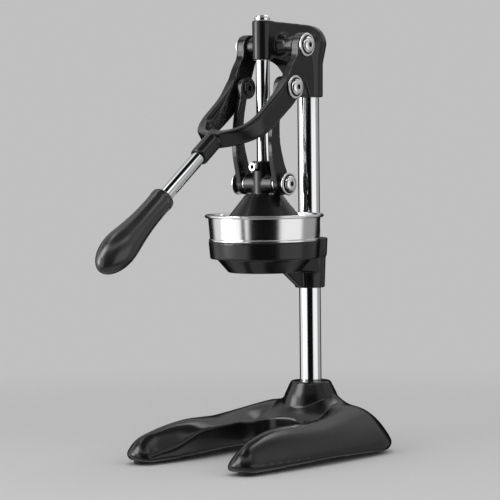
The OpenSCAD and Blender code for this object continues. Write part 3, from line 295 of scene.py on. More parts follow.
# %% [markdown]
# ## Modelling helpers
# Most bright pieces of the press were turned on a lathe, so they are made the same way:
# draw half of the section as a line of corners, round the corners, and spin the line
# about its axis. Rounding a line before it is spun costs nothing, and it is what makes
# an edge catch the light.
# %% Define the lathe
MERGE, ROUNDING_STEPS = 1e-6, 4


def spin(bm, steps):
    """A full turn of a line of edges about Z."""
    bmesh.ops.spin(bm, geom=bm.verts[:] + bm.edges[:], cent=(0, 0, 0), axis=(0, 0, 1),
                   angle=math.tau, steps=steps, use_merge=True)
    bmesh.ops.remove_doubles(bm, verts=bm.verts, dist=MERGE)


def lathe_piece(corners, steps=96, closed=True):
    """Corners are (radius, height, rounding) in millimetres, spun about Z."""
    bm = bmesh.new()
    verts = [bm.verts.new((r * MM, 0, h * MM)) for r, h, _ in corners]
    last = len(verts) if closed else len(verts) - 1
    for i in range(last):
        bm.edges.new((verts[i], verts[(i + 1) % len(verts)]))
    for vert, (_, _, rounding) in zip(verts, corners):
        if rounding:
            bmesh.ops.bevel(bm, geom=[vert], offset=rounding * MM, segments=ROUNDING_STEPS,
                            profile=0.5, affect="VERTICES", material=-1)
    spin(bm, steps)
    bmesh.ops.recalc_face_normals(bm, faces=bm.faces)
    return bm


def move(bm, matrix):
    bmesh.ops.transform(bm, matrix=matrix, verts=bm.verts)

print("lathe ready")

# %% [markdown]
# A finished mesh becomes an object that rides on the body it belongs to and stands in
# for its plain CAD piece. Faces are shaded smooth, and only edges sharper than a set
# angle stay crisp, which keeps the flat ends of tubes flat. Faces marked with material
# number one are recesses, and they get a second, near-black material of painted shade.
# %% Define how a mesh becomes a dressed piece
CRISP, RECESS = 35, 1


def mesh_from(bm, name):
    mesh = bpy.data.meshes.new(name)
    bm.to_mesh(mesh)
    bm.free()
    return mesh


def put_in_scene(mesh, name):
    made = bpy.data.objects.new(name, mesh)
    bpy.context.scene.collection.objects.link(made)
    return made


def dressed_mesh(mesh, name, body, material, replaced, crisp=CRISP):
    mesh.shade_smooth()
    mesh.set_sharp_from_angle(angle=math.radians(crisp))
    recesses = [face for face in mesh.polygons if face.material_index == RECESS]
    mesh.materials.clear()
    mesh.materials.append(material)
    # Recess faces get the near-black material as painted shade.
    if recesses:
        mesh.materials.append(recess_painted_shade)
    for face in recesses:
        face.material_index = RECESS
    piece = put_in_scene(mesh, name)
    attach(piece, body)
    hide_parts(*replaced)
    print(name, len(mesh.polygons), "faces")


def dressed(bm, name, body, material, replaced, crisp=CRISP):
    dressed_mesh(mesh_from(bm, name), name, body, material, replaced, crisp)

print("dressing ready")

# %% [markdown]
# The castings have no sharp edge anywhere: the sand mould, the grinding wheel and the
# enamel all round them. Bevelling such shapes edge by edge is hopeless. Instead a copy
# of the CAD mesh is rebuilt as an even skin of small cells, and the skin is relaxed a
# few times. Edges and inner corners round off like a real fettled casting, while broad
# faces stay where they are.
# %% Define how a casting is fettled
CASTING_CRISP = 80


def settled_mesh(block):
    """The mesh of a helper object with its modifiers applied; the helper is removed."""
    settled = block.evaluated_get(bpy.context.evaluated_depsgraph_get())
    mesh = bpy.data.meshes.new_from_object(settled)
    bpy.data.objects.remove(block)
    return mesh


def even_skin(node, cell_mm):
    """A merged copy of a CAD mesh, rebuilt in even cells."""
    bm = bmesh.new()
    bm.from_mesh(frame["nodes"][node].data)
    bmesh.ops.remove_doubles(bm, verts=bm.verts, dist=MERGE)
    block = put_in_scene(mesh_from(bm, node + "_rough"), node + "_rough")
    cells = block.modifiers.new("cells", "REMESH")
    cells.mode = "VOXEL"
    cells.voxel_size = cell_mm * MM
    return settled_mesh(block)


def relaxed(mesh, passes, looseness=None):
    """Smooths a mesh, by looseness(place) from 0 to 1 where that is given."""
    block = put_in_scene(mesh, mesh.name + "_relaxed")
    relax = block.modifiers.new("relax", "SMOOTH")
    relax.factor = 0.5
    relax.iterations = passes
    if looseness:
        loose = block.vertex_groups.new(name="loose")
        for vert in mesh.vertices:
            loose.add([vert.index], looseness(vert.co), "REPLACE")
        relax.vertex_group = "loose"
    return settled_mesh(block)


def fettled(node, name, body, material, cell_mm, passes):
    dressed_mesh(relaxed(even_skin(node, cell_mm), passes), name, body, material, [node],
                 crisp=CASTING_CRISP)

print("fettling ready")

# %% [markdown]
# ## Castings
# The base is the hardest shape. Its upper side rises from a low rim to a ridge on each
# leg, swells round the column and rolls over at the toes. The CAD piece follows that
# surface in flat facets, which a glossy enamel would show. The surface itself is simple
# to state: at each place it is the lower of a flank that climbs from the edge and a
# ridge that runs along the leg, so it is stated here again, in millimetres.
# %% State the base's upper surface
BASE_W, BASE_FRONT, BASE_BACK, LEG_H, GAP_W, SOCKET_R = 190, 206, 44, 42, 74, 20.5
TOE_X, TOE_R, TOE_Y = 66.5, 18, -188
BACK_X = BASE_W / 2 - BASE_BACK
WIDENING, GAP_OPENS, GAP_RUN, GAP_CURVE, TOE_TAPER = 0.8, 0.55, 0.45, 1.7, 1.3
RIM_SHARE, FLANK_SHARE, FLANK_RUN, RIDGE_REACH = 0.24, 1.28, 0.15 * BASE_W, 0.68 * BASE_W / 2
SWELL_SHARE, SWELL_RUN, BLEND = 0.56, 0.8 * SOCKET_R, 7
ridge_shares = [(0, 0.5), (0.08, 0.74), (0.2, 0.95), (0.31, 1.03), (0.4, 1), (0.5, 0.97),
                (0.64, 1.05), (0.77, 1.14), (0.88, 1.18), (1, 1.18)]
inner_shares = [(0, 0.2), (0.08, 0.26), (0.13, 0.32), (0.19, 0.43), (0.24, 0.57), (0.29, 0.69),
                (0.35, 0.735), (0.5, 0.76), (0.58, 0.74), (0.66, 0.73), (0.77, 0.95),
                (0.88, 1.1), (1, 1.1)]


def clamp(value, low=0.0, high=1.0):
    return max(low, min(high, value))


def share_at(table, t):
    """A smooth line through the rows of a table, read at t."""
    i = max(k for k in range(len(table) - 1) if k == 0 or t > table[k][0])
    rows = [table[clamp(k, 0, len(table) - 1)] for k in (i - 1, i, i + 1, i + 2)]
    p0, p1, p2, p3 = (row[1] for row in rows)
    u = clamp((t - rows[1][0]) / (rows[2][0] - rows[1][0]))
    return 0.5 * (2 * p1 + (p2 - p0) * u + (2 * p0 - 5 * p1 + 4 * p2 - p3) * u * u
                  + (3 * p1 - p0 - 3 * p2 + p3) * u ** 3)


def half_width(y):
    if y < TOE_Y:
        return TOE_X + math.sqrt(max(0, TOE_R ** 2 - (y - TOE_Y) ** 2))
    if y > 0:
        return BACK_X + math.sqrt(max(0, BASE_BACK ** 2 - y ** 2))
    reach = clamp((y - TOE_Y) / (-WIDENING * TOE_Y))
    return TOE_X + TOE_R + (BASE_W / 2 - TOE_X - TOE_R) * math.sin(math.pi / 2 * reach)


def gap_half(y):
    opening = clamp((y / TOE_Y - GAP_OPENS) / GAP_RUN)
    return GAP_W / 2 + (TOE_X - TOE_R - GAP_W / 2) * opening ** GAP_CURVE


def base_height(x, y):
    x = abs(x)
    if y > 0:
        edge = BASE_BACK - math.hypot(max(0, x - BACK_X), y)
    elif y < TOE_Y:
        edge = TOE_R - math.hypot(x - TOE_X, y - TOE_Y)
    else:
        edge = min(half_width(y) - x, BASE_BACK - y, x - gap_half(y) + TOE_TAPER * (y - TOE_Y))
    flank = RIM_SHARE * LEG_H + FLANK_SHARE * LEG_H * (1 - math.exp(-max(0, edge) / FLANK_RUN))
    t = (y + BASE_FRONT) / (BASE_FRONT + BASE_BACK)
    low, top = LEG_H * share_at(inner_shares, t), LEG_H * share_at(ridge_shares, t)
    across = clamp((x - gap_half(y)) / (RIDGE_REACH - gap_half(y)))
    ridge = low + (top - low) * math.sin(math.pi / 2 * across)
    swell = SWELL_SHARE * LEG_H * math.exp(-max(0, math.hypot(x, y) - SOCKET_R) / SWELL_RUN)
    return (flank ** -BLEND + ridge ** -BLEND) ** (-1 / BLEND) + swell

print("height of the left leg's ridge", round(base_height(-64, -120), 1), "mm")

# %% [markdown]
# With the surface stated, fettling the base has three steps: rebuild the copy in even
# cells, move each upward-facing point that is near the surface onto it, and relax. A
# point moves along its own normal, which works on steep flanks too. The socket stands
# well above the surface, so its points stay where they are. The toes and the lower rim
# are the roundest parts, and get more passes of relaxing than the rest.
# %% Fettle the base
BASE_CELL, ROUNDS, LOOSE_PASSES, LAST_PASSES = 1.25, 2, 40, 12
TOE_LENGTH, TOE_FADE, RIM_TOP, RIM_FADE = 60, 45, 0.42 * LEG_H, 5
STEEPEST, STEEPEST_BY_SOCKET, LOWEST, FARTHEST = 0.12, 0.5, 0.36 * LEG_H, 2


def base_looseness(place):
    toe = clamp((TOE_Y + TOE_LENGTH - (place.y - COLUMN_AXIS.y) / MM) / TOE_FADE)
    rim = clamp((RIM_TOP - place.z / MM) / RIM_FADE)
    return max(toe, rim)


base_mesh = even_skin("base_casting", BASE_CELL)
for _ in range(ROUNDS):
    upward = [(vert, vert.normal.copy()) for vert in base_mesh.vertices
              if vert.normal.z > STEEPEST and vert.co.z > LOWEST * MM]
    settled_points = 0
    for vert, normal in upward:
        x, y = vert.co.x / MM, (vert.co.y - COLUMN_AXIS.y) / MM
        by_socket = math.hypot(x, y) < 2 * SOCKET_R
        away = (base_height(x, y) * MM - vert.co.z) * normal.z
        if abs(away) < FARTHEST * MM and normal.z > (STEEPEST_BY_SOCKET if by_socket else STEEPEST):
            vert.co += away * normal
            settled_points += 1
base_mesh = relaxed(relaxed(base_mesh, LOOSE_PASSES, base_looseness), LAST_PASSES)
dressed_mesh(base_mesh, "base_casting_skin", "stand", enamel, ["base_casting"],
             crisp=CASTING_CRISP)
print(settled_points, "points set on the surface")

# %% [markdown]
# The other castings are fettled straight from their CAD meshes. Larger ones get larger
# cells, so that each stays light enough, and the passes are chosen so that edges round
# by one to two millimetres.
# %% Fettle the head, the bowl holder, the bell and the links
for node, body, cell_mm, passes in (("head_casting", "stand", 0.8, 18),
                                    ("bowl_holder", "stand", 0.9, 8),
                                    ("press_head", "press", 0.8, 8),
                                    ("link_left", "link_left", 0.5, 12),
                                    ("link_right", "link_right", 0.5, 12)):
    fettled(node, node + "_skin", body, enamel, cell_mm, passes)

# %% [markdown]
# ## Tubes and rods
# The column, the guide rod and the lever tube are plain chromed stock. The only shape
# they need is a clean round with many steps, because chrome shows every facet.
# %% Turn the column and the guide rod
COLUMN_R, COLUMN_WALL, TUBE_EDGE, ROD_EDGE = (column_high.x - column_low.x) / 2 / MM, 2.0, 0.3, 0.4


def tube_section(outer_r, wall, start, end):
    return [(outer_r, start, TUBE_EDGE), (outer_r, end, TUBE_EDGE),
            (outer_r - wall, end, TUBE_EDGE), (outer_r - wall, start, TUBE_EDGE)]


column = lathe_piece(tube_section(COLUMN_R, COLUMN_WALL, column_low.z / MM, column_high.z / MM),
                     steps=160)
move(column, Matrix.Translation(COLUMN_AXIS))
dressed(column, "column_chrome", "stand", chrome, ["column_tube"])

ROD_R = (rod_high.x - rod_low.x) / 2 / MM
rod = lathe_piece([(0, rod_low.z / MM, 0), (ROD_R, rod_low.z / MM, ROD_EDGE),
                   (ROD_R, rod_high.z / MM, ROD_EDGE), (0, rod_high.z / MM, 0)],
                  steps=128, closed=False)
move(rod, Matrix.Translation(ROD_AXIS))
dressed(rod, "guide_rod_chrome", "press", chrome, ["guide_rod"])

# %% [markdown]
# The rod ends in a low stop cap, turned with a soft shoulder. It is what you see as the
# bright top edge of the press.
# %% Turn the rod's stop cap
cap_low, cap_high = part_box("rod_stop_cap")
CAP_R = (cap_high.x - cap_low.x) / 2 / MM
cap = lathe_piece([(0, cap_low.z / MM, 0), (CAP_R, cap_low.z / MM, 0.3),
                   (CAP_R, cap_high.z / MM - 2.6, 0.8), (CAP_R * 0.72, cap_high.z / MM - 0.25, 1.4),
                   (0, cap_high.z / MM, 0)], steps=96, closed=False)
move(cap, Matrix.Translation(ROD_AXIS))
dressed(cap, "rod_stop_cap_chrome", "press", chrome, ["rod_stop_cap"], crisp=50)

# %% [markdown]
# The lever's pieces share one sloping axis. They are turned upright about Z, and one
# matrix then tips them onto that axis, with its start below the lever's pivot.
# %% Place things along the lever
lever_frame = Matrix.Translation(LEVER_PIVOT) @ Matrix.Rotation(LEVER_SLOPE, 4, "X")


def lever_measures(node):
    """Start, end, radius and the axis's drop below the pivot, in millimetres."""
    places = [lever_frame.inverted() @ v.co for v in frame["nodes"][node].data.vertices]
    along = [-place.y / MM for place in places]
    across = [place.x / MM for place in places]
    down = [-place.z / MM for place in places]
    return min(along), max(along), max(across), (min(down) + max(down)) / 2

print("lever slope", round(math.degrees(LEVER_SLOPE)), "degrees")

# %% [markdown]
# The fork's arms are crisp about their pivots and almost round in section where they
# curve together, so the fork gets a second relaxing. It takes hold beyond the bosses
# for the links and lets go again at the sleeve for the tube.
# %% Fettle the fork
ARM_STIFF, ARM_LOOSE, SLEEVE_LOOSE, SLEEVE_STIFF, SLEEVE_SHARE = 50, 76, 120, 142, 0.1
FORK_CELL, ARM_PASSES = 0.7, 130
to_lever = lever_frame.inverted()


def arm_looseness(place):
    along = -(to_lever @ place).y / MM
    rising = clamp((along - ARM_STIFF) / (ARM_LOOSE - ARM_STIFF))
    falling = clamp((SLEEVE_STIFF - along) / (SLEEVE_STIFF - SLEEVE_LOOSE))
    return min(rising, SLEEVE_SHARE + (1 - SLEEVE_SHARE) * falling)


fork_mesh = relaxed(even_skin("yoke_casting", FORK_CELL), ARM_PASSES, arm_looseness)
dressed_mesh(relaxed(fork_mesh, LAST_PASSES), "yoke_casting_skin", "lever", enamel,
             ["yoke_casting"], crisp=CASTING_CRISP)

# %% [markdown]
# The lever tube is a length of chromed tube like the column, only thinner. Its ends and
# its radius are measured on the CAD piece, along the lever.
# %% Turn the lever tube
TUBE_START, TUBE_END, TUBE_R, LEVER_DROP = lever_measures("lever_tube")
TUBE_WALL = 1.5


def along_lever(bm):
    """From a lathe's upright axis to the lever's own axis, pointing to the grip."""
    move(bm, lever_frame @ Matrix.Translation((0, 0, -LEVER_DROP * MM))
         @ Matrix.Rotation(math.pi / 2, 4, "X"))

tube = lathe_piece(tube_section(TUBE_R, TUBE_WALL, TUBE_START, TUBE_END), steps=128)
along_lever(tube)
dressed(tube, "lever_tube_chrome", "lever", chrome, ["lever_tube"])
print("lever tube from", round(TUBE_START, 1), "to", round(TUBE_END, 1), "mm along the lever")

# %% [markdown]
# ## Grip
# The grip is a moulded pear: a flat end with a tight edge, a shoulder, a waist, and a
# long belly that ends in half an ellipse. A few radii state the belly, and a smooth line
# through them gives the section its many points, so the highlight runs down without a kink.
# %% Turn the grip and its collar
GRIP_START, GRIP_END, GRIP_R, _ = lever_measures("grip")
GRIP_LEN = GRIP_END - GRIP_START
FIT = 0.06
BORE_R, BORE_END = TUBE_R + FIT, TUBE_END + 0.3
end_edge = [(0.0, 0.655), (0.002, 0.683), (0.006, 0.701), (0.012, 0.709), (0.04, 0.713),
            (0.05, 0.709)]
belly = [(0.06, 0.696), (0.1, 0.687), (0.17, 0.688), (0.26, 0.703), (0.34, 0.733), (0.42, 0.782),
         (0.5, 0.843), (0.58, 0.915), (0.645, 0.973), (0.709, 1.0), (0.76, 0.988)]
BELLY_START, BELLY_END, BELLY_STEPS, NOSE_STEPS = 0.06, 0.709, 44, 24
sides = [(s, share_at(belly, s)) for s in
         (BELLY_START + (BELLY_END - BELLY_START) * i / BELLY_STEPS for i in range(BELLY_STEPS))]
nose = [(BELLY_END + (1 - BELLY_END) * math.sin(a), math.cos(a)) for a in
        (math.pi / 2 * i / NOSE_STEPS for i in range(NOSE_STEPS))]
corners = [(0, BORE_END, 0), (BORE_R, BORE_END, 0), (BORE_R, GRIP_START, 0)]
corners += [(GRIP_R * r, GRIP_START + GRIP_LEN * s, 0) for s, r in end_edge + sides + nose]
corners += [(0, GRIP_END, 0)]
grip = lathe_piece(corners, steps=128, closed=False)
along_lever(grip)
dressed(grip, "grip_moulding", "lever", grip_plastic, ["grip"], crisp=60)

collar_start, collar_end, collar_r, _ = lever_measures("grip_ferrule")
ferrule = lathe_piece([(BORE_R, collar_start, 0.2), (collar_r, collar_start, 0.5),
                       (collar_r, collar_end, 0.2), (BORE_R, collar_end, 0.1)], steps=96)
along_lever(ferrule)
dressed(ferrule, "grip_collar", "lever", enamel, ["grip_ferrule"])

# %% [markdown]
# ## Bowl
# The bowl is spun steel with a rolled rim and a pierced floor. Its bright band shows
# clean stripes, which need an evenly spun wall, so it is turned on the lathe from the
# sheet's section. The drain holes are then punched out with a Boolean modifier.
# %% Spin the bowl
bowl_low, bowl_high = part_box("strainer_bowl")
FLOOR_Z, RIM_Z, RIM_R = bowl_low.z / MM, bowl_high.z / MM, bowl_high.x / MM
SHEET, BEAD_R, BODY_R, SPIGOT_R = 1.2, 1.68, 52.64, 6.12
SEAT_Z = FLOOR_Z + 13.56
bead_x, bead_z = RIM_R - BEAD_R, RIM_Z - BEAD_R
bead = [(bead_x + BEAD_R * math.cos(a), bead_z + BEAD_R * math.sin(a), 0)
        for a in (math.radians(degrees) for degrees in range(-165, 91, 15))]
bowl_bm = lathe_piece(
    [(SPIGOT_R, FLOOR_Z, 0.1), (BODY_R, FLOOR_Z, 4.0), (BODY_R, SEAT_Z, 0.3),
     (BODY_R + 4.0, SEAT_Z, 0.3), (BODY_R + 4.0, SEAT_Z + 1.9, 0.4),
     (BODY_R + 2.9, SEAT_Z + 2.4, 0.4)] + bead
    + [(bead_x - 1.5, RIM_Z - 0.2, 0), (bead_x - 2.4, RIM_Z - 0.75, 0),
       (bead_x - 2.85, bead_z - 0.4, 0), (BODY_R + 1.7, SEAT_Z + 2.4, 0.5),
       (BODY_R - SHEET, SEAT_Z + 1.1, 0.5),
       (BODY_R - SHEET, FLOOR_Z + SHEET, 3.0), (SPIGOT_R, FLOOR_Z + SHEET, 0.1)], steps=192)
move(bowl_bm, Matrix.Translation(ROD_AXIS))
print("bowl blank with", len(bowl_bm.faces), "faces")

# %% [markdown]
# The drain holes stand in two rings round the spigot. All punches are one mesh of short
# round bars, so a single Boolean cuts every hole at once.
# %% Punch the drain holes and polish the bowl
DRAIN_R, PUNCH_LENGTH = 0.028 * RIM_R, 6
drain_rings = ((0.8, 28, 0.0), (0.9, 32, 0.5))
punches_bm = bmesh.new()
for share, count, lag in drain_rings:
    for i in range(count):
        place = (Matrix.Translation(ROD_AXIS)
                 @ Matrix.Rotation(math.tau * (i + lag) / count, 4, "Z")
                 @ Matrix.Translation((share * (BODY_R - 3 * SHEET) * MM, 0, FLOOR_Z * MM)))
        bmesh.ops.create_cone(punches_bm, cap_ends=True, segments=16, radius1=DRAIN_R * MM,
                              radius2=DRAIN_R * MM, depth=PUNCH_LENGTH * MM, matrix=place)
blank, punches = (put_in_scene(mesh_from(bm, name), name) for name, bm in
                  (("bowl_blank", bowl_bm), ("bowl_punches", punches_bm)))
holes = blank.modifiers.new("holes", "BOOLEAN")
holes.operation = "DIFFERENCE"
holes.solver = "EXACT"
holes.object = punches
bowl_mesh = settled_mesh(blank)
bpy.data.objects.remove(punches)
dressed_mesh(bowl_mesh, "strainer_bowl_steel", "stand", bowl_steel,
             ["strainer_bowl"])

# %% [markdown]
# The reamer under the bell is a rough tumbled casting, so it is fettled like the rest,
# with small cells that keep its ribs.
# %% Fettle the reamer
fettled("reamer_cone", "reamer_casting", "stand", cast_aluminium, 0.6, 4)

# %% [markdown]
# ## Pivot screws
# Six round-headed screws with hexagon sockets hold the linkage, and they are the
# brightest details in the photo. The head is a spun dome. Its socket starts as a ring of
# points, which is pushed out to a hexagon, and then extruded inwards and closed.
# %% Define a round head with a hexagon socket
SOCKET_FLOOR = 0.25


def hexagon_socket(bm, edge_loop, key_mm, depth_mm):
    """Turns a small ring of edges about Z into a hexagon and sinks a socket from it."""
    apothem = key_mm / 2
    ring = {v for e in edge_loop for v in e.verts}
    for vert in ring:
        turn = math.atan2(vert.co.y, vert.co.x) % (math.pi / 3) - math.pi / 6
        reach = apothem / math.cos(turn) * MM
        vert.co.x, vert.co.y = Vector((vert.co.x, vert.co.y)).normalized() * reach
    wall = bmesh.ops.extrude_edge_only(bm, edges=list(edge_loop))["geom"]
    wall_verts = [g for g in wall if isinstance(g, bmesh.types.BMVert)]
    bmesh.ops.translate(bm, verts=wall_verts, vec=(0, 0, -depth_mm * MM))
    floor_edges = [g for g in wall if isinstance(g, bmesh.types.BMEdge)]
    floor_edges = [e for e in floor_edges if all(v in wall_verts for v in e.verts)]
    floor = bmesh.ops.contextual_create(bm, geom=floor_edges)["faces"]
    inset = bmesh.ops.inset_region(bm, faces=floor, thickness=SOCKET_FLOOR * MM,
                                   depth=-SOCKET_FLOOR * MM, use_even_offset=True)
    # Painted shade: the socket's walls and floor are marked for the near-black recess material.
    walls = [face for vert in wall_verts for face in vert.link_faces]
    for face in walls + floor + inset["faces"]:
        face.material_index = RECESS


def round_head(head_r, rise, key_mm, shank_r, shank_len, steps=60):
    """A screw along +Z with the underside of its head at zero."""
    bm = bmesh.new()
    socket_r, socket_depth, tip = 0.62 * key_mm, 1.4 * rise, 0.4
    outline = [(0, -shank_len), (shank_r - tip, -shank_len), (shank_r, -shank_len + tip),
               (shank_r, 0), (head_r - 0.2, 0), (head_r, 0.25), (head_r, 0.34 * rise),
               (head_r - 0.25, 0.5 * rise), (head_r * 0.9, 0.68 * rise),
               (head_r * 0.78, 0.86 * rise), (head_r * 0.62, 0.97 * rise),
               (socket_r + 0.35, rise), (socket_r, rise - 0.2)]
    verts = [bm.verts.new((r * MM, 0, z * MM)) for r, z in outline]
    for a, b in zip(verts, verts[1:]):
        bm.edges.new((a, b))
    spin(bm, steps)
    hexagon_socket(bm, [e for e in bm.edges if e.is_boundary], key_mm, socket_depth)
    bmesh.ops.recalc_face_normals(bm, faces=bm.faces)
    return bm

print("screw maker ready")

# %% [markdown]
# Under each head lies a washer with a chamfered rim and a shallow groove. The groove's
# faces are painted dark as its shadow, and that is the dark ring round each bright head in the photo.
# %% Define a grooved washer
def grooved_washer(outer_r, bore_r, thick, head_r):
    washer = lathe_piece([(bore_r, 0, 0), (outer_r, 0, 0.1), (outer_r, 0.55 * thick, 0.15),
                          (outer_r - 0.55 * thick, thick, 0.15), (head_r + 1.5, thick, 0.1),
                          (head_r + 1.3, 0.12 * thick, 0.05), (head_r - 0.2, 0.12 * thick, 0.05),
                          (head_r - 0.4, thick, 0.1), (bore_r, thick, 0)], steps=96)
    # Painted shade: the groove's faces take the near-black recess material.
    for face in washer.faces:
        middle = face.calc_center_median() / MM
        in_groove = head_r - 0.4 < math.hypot(middle.x, middle.y) < head_r + 1.5
        if in_groove and 0.1 * thick < middle.z < 0.97 * thick:
            face.material_index = RECESS
    return washer


def pair_on_pivot(bm, pivot, x_mm):
    """Turns a piece made along +Z to point out along +X at x, and mirrors it to -X."""
    move(bm, Matrix.Translation(pivot) @ Matrix.Translation((x_mm * MM, 0, 0))
         @ Matrix.Rotation(math.pi / 2, 4, "Y"))
    bmesh.ops.mirror(bm, geom=bm.verts[:] + bm.edges[:] + bm.faces[:], matrix=Matrix.Identity(4),
                     merge_dist=-1, axis="X")
    bmesh.ops.recalc_face_normals(bm, faces=bm.faces)

print("washer maker ready")

# %% [markdown]
# The three pivots differ only in where they are, how far out they sit and how long
# their shanks are, so a short table and one loop dress them all.
# %% Dress the pivot screws and washers
HEAD_R, HEAD_RISE, KEY, SHANK_R, WASHER_R, WASHER_T = 8.1, 3.6, 5.0, 4.0, 11.8, 1.4
WASHER_BORE_R = SHANK_R + FIT
pivots = {
    "upper": (LEVER_PIVOT, "stand", "upper_pivot_washers", "upper_pivot_screws"),
    "middle": (MIDDLE_PIVOT, "lever", "mid_pivot_washers", "mid_pivot_screws"),
    "lower": (FOOT_PIVOT, "press", "lower_pivot_washers", "lower_pivot_screws"),
}
for label, (pivot, body, washer_node, screw_node) in pivots.items():
    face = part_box(washer_node)[1].x / MM - WASHER_T
    inner = min(abs(v.co.x) for v in frame["nodes"][screw_node].data.vertices) / MM
    washer = grooved_washer(WASHER_R, WASHER_BORE_R, WASHER_T, HEAD_R)
    pair_on_pivot(washer, pivot, face)
    dressed(washer, label + "_washers_chrome", body, satin_chrome, [washer_node], 40)
    screw = round_head(HEAD_R, HEAD_RISE, KEY, SHANK_R, face + WASHER_T - inner)
    pair_on_pivot(screw, pivot, face + WASHER_T)
    dressed(screw, label + "_screws_chrome", body, satin_chrome, [screw_node], 40)

# %% [markdown]
# ## Feet
# Each toe and each back corner stands on a round rubber pad. The pad gets a soft rim
# and two moulded rings, because a plain disc would read as a drawing of a foot.
# %% Turn the rubber feet
FOOT_RECESS_R, FOOT_RECESS_Z, FOOT_BORE_R, FOOT_GROOVE = 4.26, 2.03, 2.04, 0.45
for corner in ("front_left", "front_right", "rear_left", "rear_right"):
    low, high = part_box("foot_" + corner)
    r, top = (high.x - low.x) / 2 / MM, high.z / MM
    pad = lathe_piece([(FOOT_RECESS_R, 0, 0.3), (r * 0.86, 0, 0.5), (r, 1.0, 0.6), (r, 1.7, 0.2),
                       (r - FOOT_GROOVE, 1.95, 0.2), (r - FOOT_GROOVE, 2.3, 0.2), (r, 2.55, 0.2),
                       (r, top, 0.3), (FOOT_BORE_R, top, 0.1), (FOOT_BORE_R, FOOT_RECESS_Z, 0.1),
                       (FOOT_RECESS_R, FOOT_RECESS_Z, 0.1)], steps=72)
    move(pad, Matrix.Translation(((low.x + high.x) / 2, (low.y + high.y) / 2, 0)))
    dressed(pad, "foot_" + corner + "_rubber", "stand", rubber, ["foot_" + corner], 45)

# %% [markdown]
# ## Small turned pieces
# The sleeve nuts on the inner sides of the links are black with a hexagon socket, like
# the screw heads but flatter. Spacers and thin washers are rings with eased edges.
# %% Dress the sleeve nuts, spacers and hub washers
NUT_RISE, SLEEVE_R = 1.8, 6.0


def ring_section(bore_r, outer_r, start, end, rounding):
    return [(bore_r, start, 0.1), (outer_r, start, rounding), (outer_r, end, rounding),
            (bore_r, end, 0.1)]


for side, sign in (("left", -1), ("right", 1)):
    nut_node, spacer_node, body = "mid_nut_" + side, "mid_spacer_" + side, "link_" + side
    low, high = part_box(nut_node)
    inner, outer = sorted((abs(low.x) / MM, abs(high.x) / MM))
    nut = round_head((high.z - low.z) / 2 / MM, NUT_RISE, KEY, SLEEVE_R, outer - inner - NUT_RISE)
    move(nut, Matrix.Translation(MIDDLE_PIVOT)
         @ Matrix.Translation((sign * (inner + NUT_RISE) * MM, 0, 0))
         @ Matrix.Rotation(-sign * math.pi / 2, 4, "Y"))
    dressed(nut, nut_node + "_black", body, enamel, [nut_node], 40)
    low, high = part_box(spacer_node)
    near, far = sorted((abs(low.x) / MM, abs(high.x) / MM))
    ring = lathe_piece(ring_section(SLEEVE_R + FIT, (high.z - low.z) / 2 / MM, near, far, 0.4),
                       steps=72)
    move(ring, Matrix.Translation(MIDDLE_PIVOT) @ Matrix.Rotation(sign * math.pi / 2, 4, "Y"))
    dressed(ring, spacer_node + "_black", body, enamel, [spacer_node])

low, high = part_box("hub_washers")
hub_in = min(abs(v.co.x) for v in frame["nodes"]["hub_washers"].data.vertices) / MM
thin = lathe_piece(ring_section(WASHER_BORE_R, (high.z - low.z) / 2 / MM, 0, high.x / MM - hub_in,
                                0.25))
pair_on_pivot(thin, FOOT_PIVOT, hub_in)
dressed(thin, "hub_washers_chrome", "press", chrome, ["hub_washers"])

# %% [markdown]
# The screw on the front of the hub clamps the guide rod. It has a tall round head with
# a straight knurl, which is made by pushing every other step of the spun wall inwards.
# %% Dress the hub's set screw
CLAMP_SHANK_R, CLAMP_SOCKET_R, CLAMP_KEY, CLAMP_SOCKET_DEPTH = 3.0, 2.9, 4.6, 3.2
KNURL_STEPS, KNURL_SHARE = 60, 0.965
low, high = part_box("hub_set_screw")
head_r = (high.z - low.z) / 2 / MM
tip_to_top = (high.y - low.y) / MM
shank_len = tip_to_top - 1.1 * head_r
clamp_screw = lathe_piece([(0, 0, 0), (CLAMP_SHANK_R, 0, 0.3), (CLAMP_SHANK_R, shank_len, 0),
                           (head_r, shank_len, 0.3), (head_r, tip_to_top, 0.5),
                           (CLAMP_SOCKET_R, tip_to_top, 0.2)], steps=KNURL_STEPS, closed=False)
for vert in clamp_screw.verts:
    radius = math.hypot(vert.co.x, vert.co.y)
    step = round(math.atan2(vert.co.y, vert.co.x) / (math.tau / KNURL_STEPS))
    if radius > (head_r - 0.05) * MM and step % 2:
        vert.co.x *= KNURL_SHARE
        vert.co.y *= KNURL_SHARE
rim = [e for e in clamp_screw.edges if e.is_boundary]
hexagon_socket(clamp_screw, rim, CLAMP_KEY, CLAMP_SOCKET_DEPTH)
bmesh.ops.recalc_face_normals(clamp_screw, faces=clamp_screw.faces)
move(clamp_screw, Matrix.Translation((0, high.y, (low.z + high.z) / 2))
     @ Matrix.Rotation(math.pi / 2, 4, "X"))
dressed(clamp_screw, "hub_set_screw_chrome", "press", chrome, ["hub_set_screw"], crisp=30)

# %% [markdown]
# ## Pieces that keep their CAD shape
# Bushes, grub screws, the column's bolt and plug and the pivot shaft sit inside others
# and need no more shape. They still get a real finish, by the record's material slots.
# %% Give the remaining pieces their finish
finishes = {"black_enamel": enamel, "chrome": chrome, "polished_steel": bowl_steel,
            "plain_steel": plain_steel, "cast_aluminium": cast_aluminium,
            "bush_plastic": bush_plastic, "grip_plastic": grip_plastic, "rubber": rubber}
kept = 0
for entry in frame["record"]["subparts"]:
    node = frame["nodes"][entry["node"]]
    node.data.materials.clear()
    node.data.materials.append(finishes[entry["material_slot"]])
    kept += not node.hide_render
print(kept, "pieces keep their CAD shape")

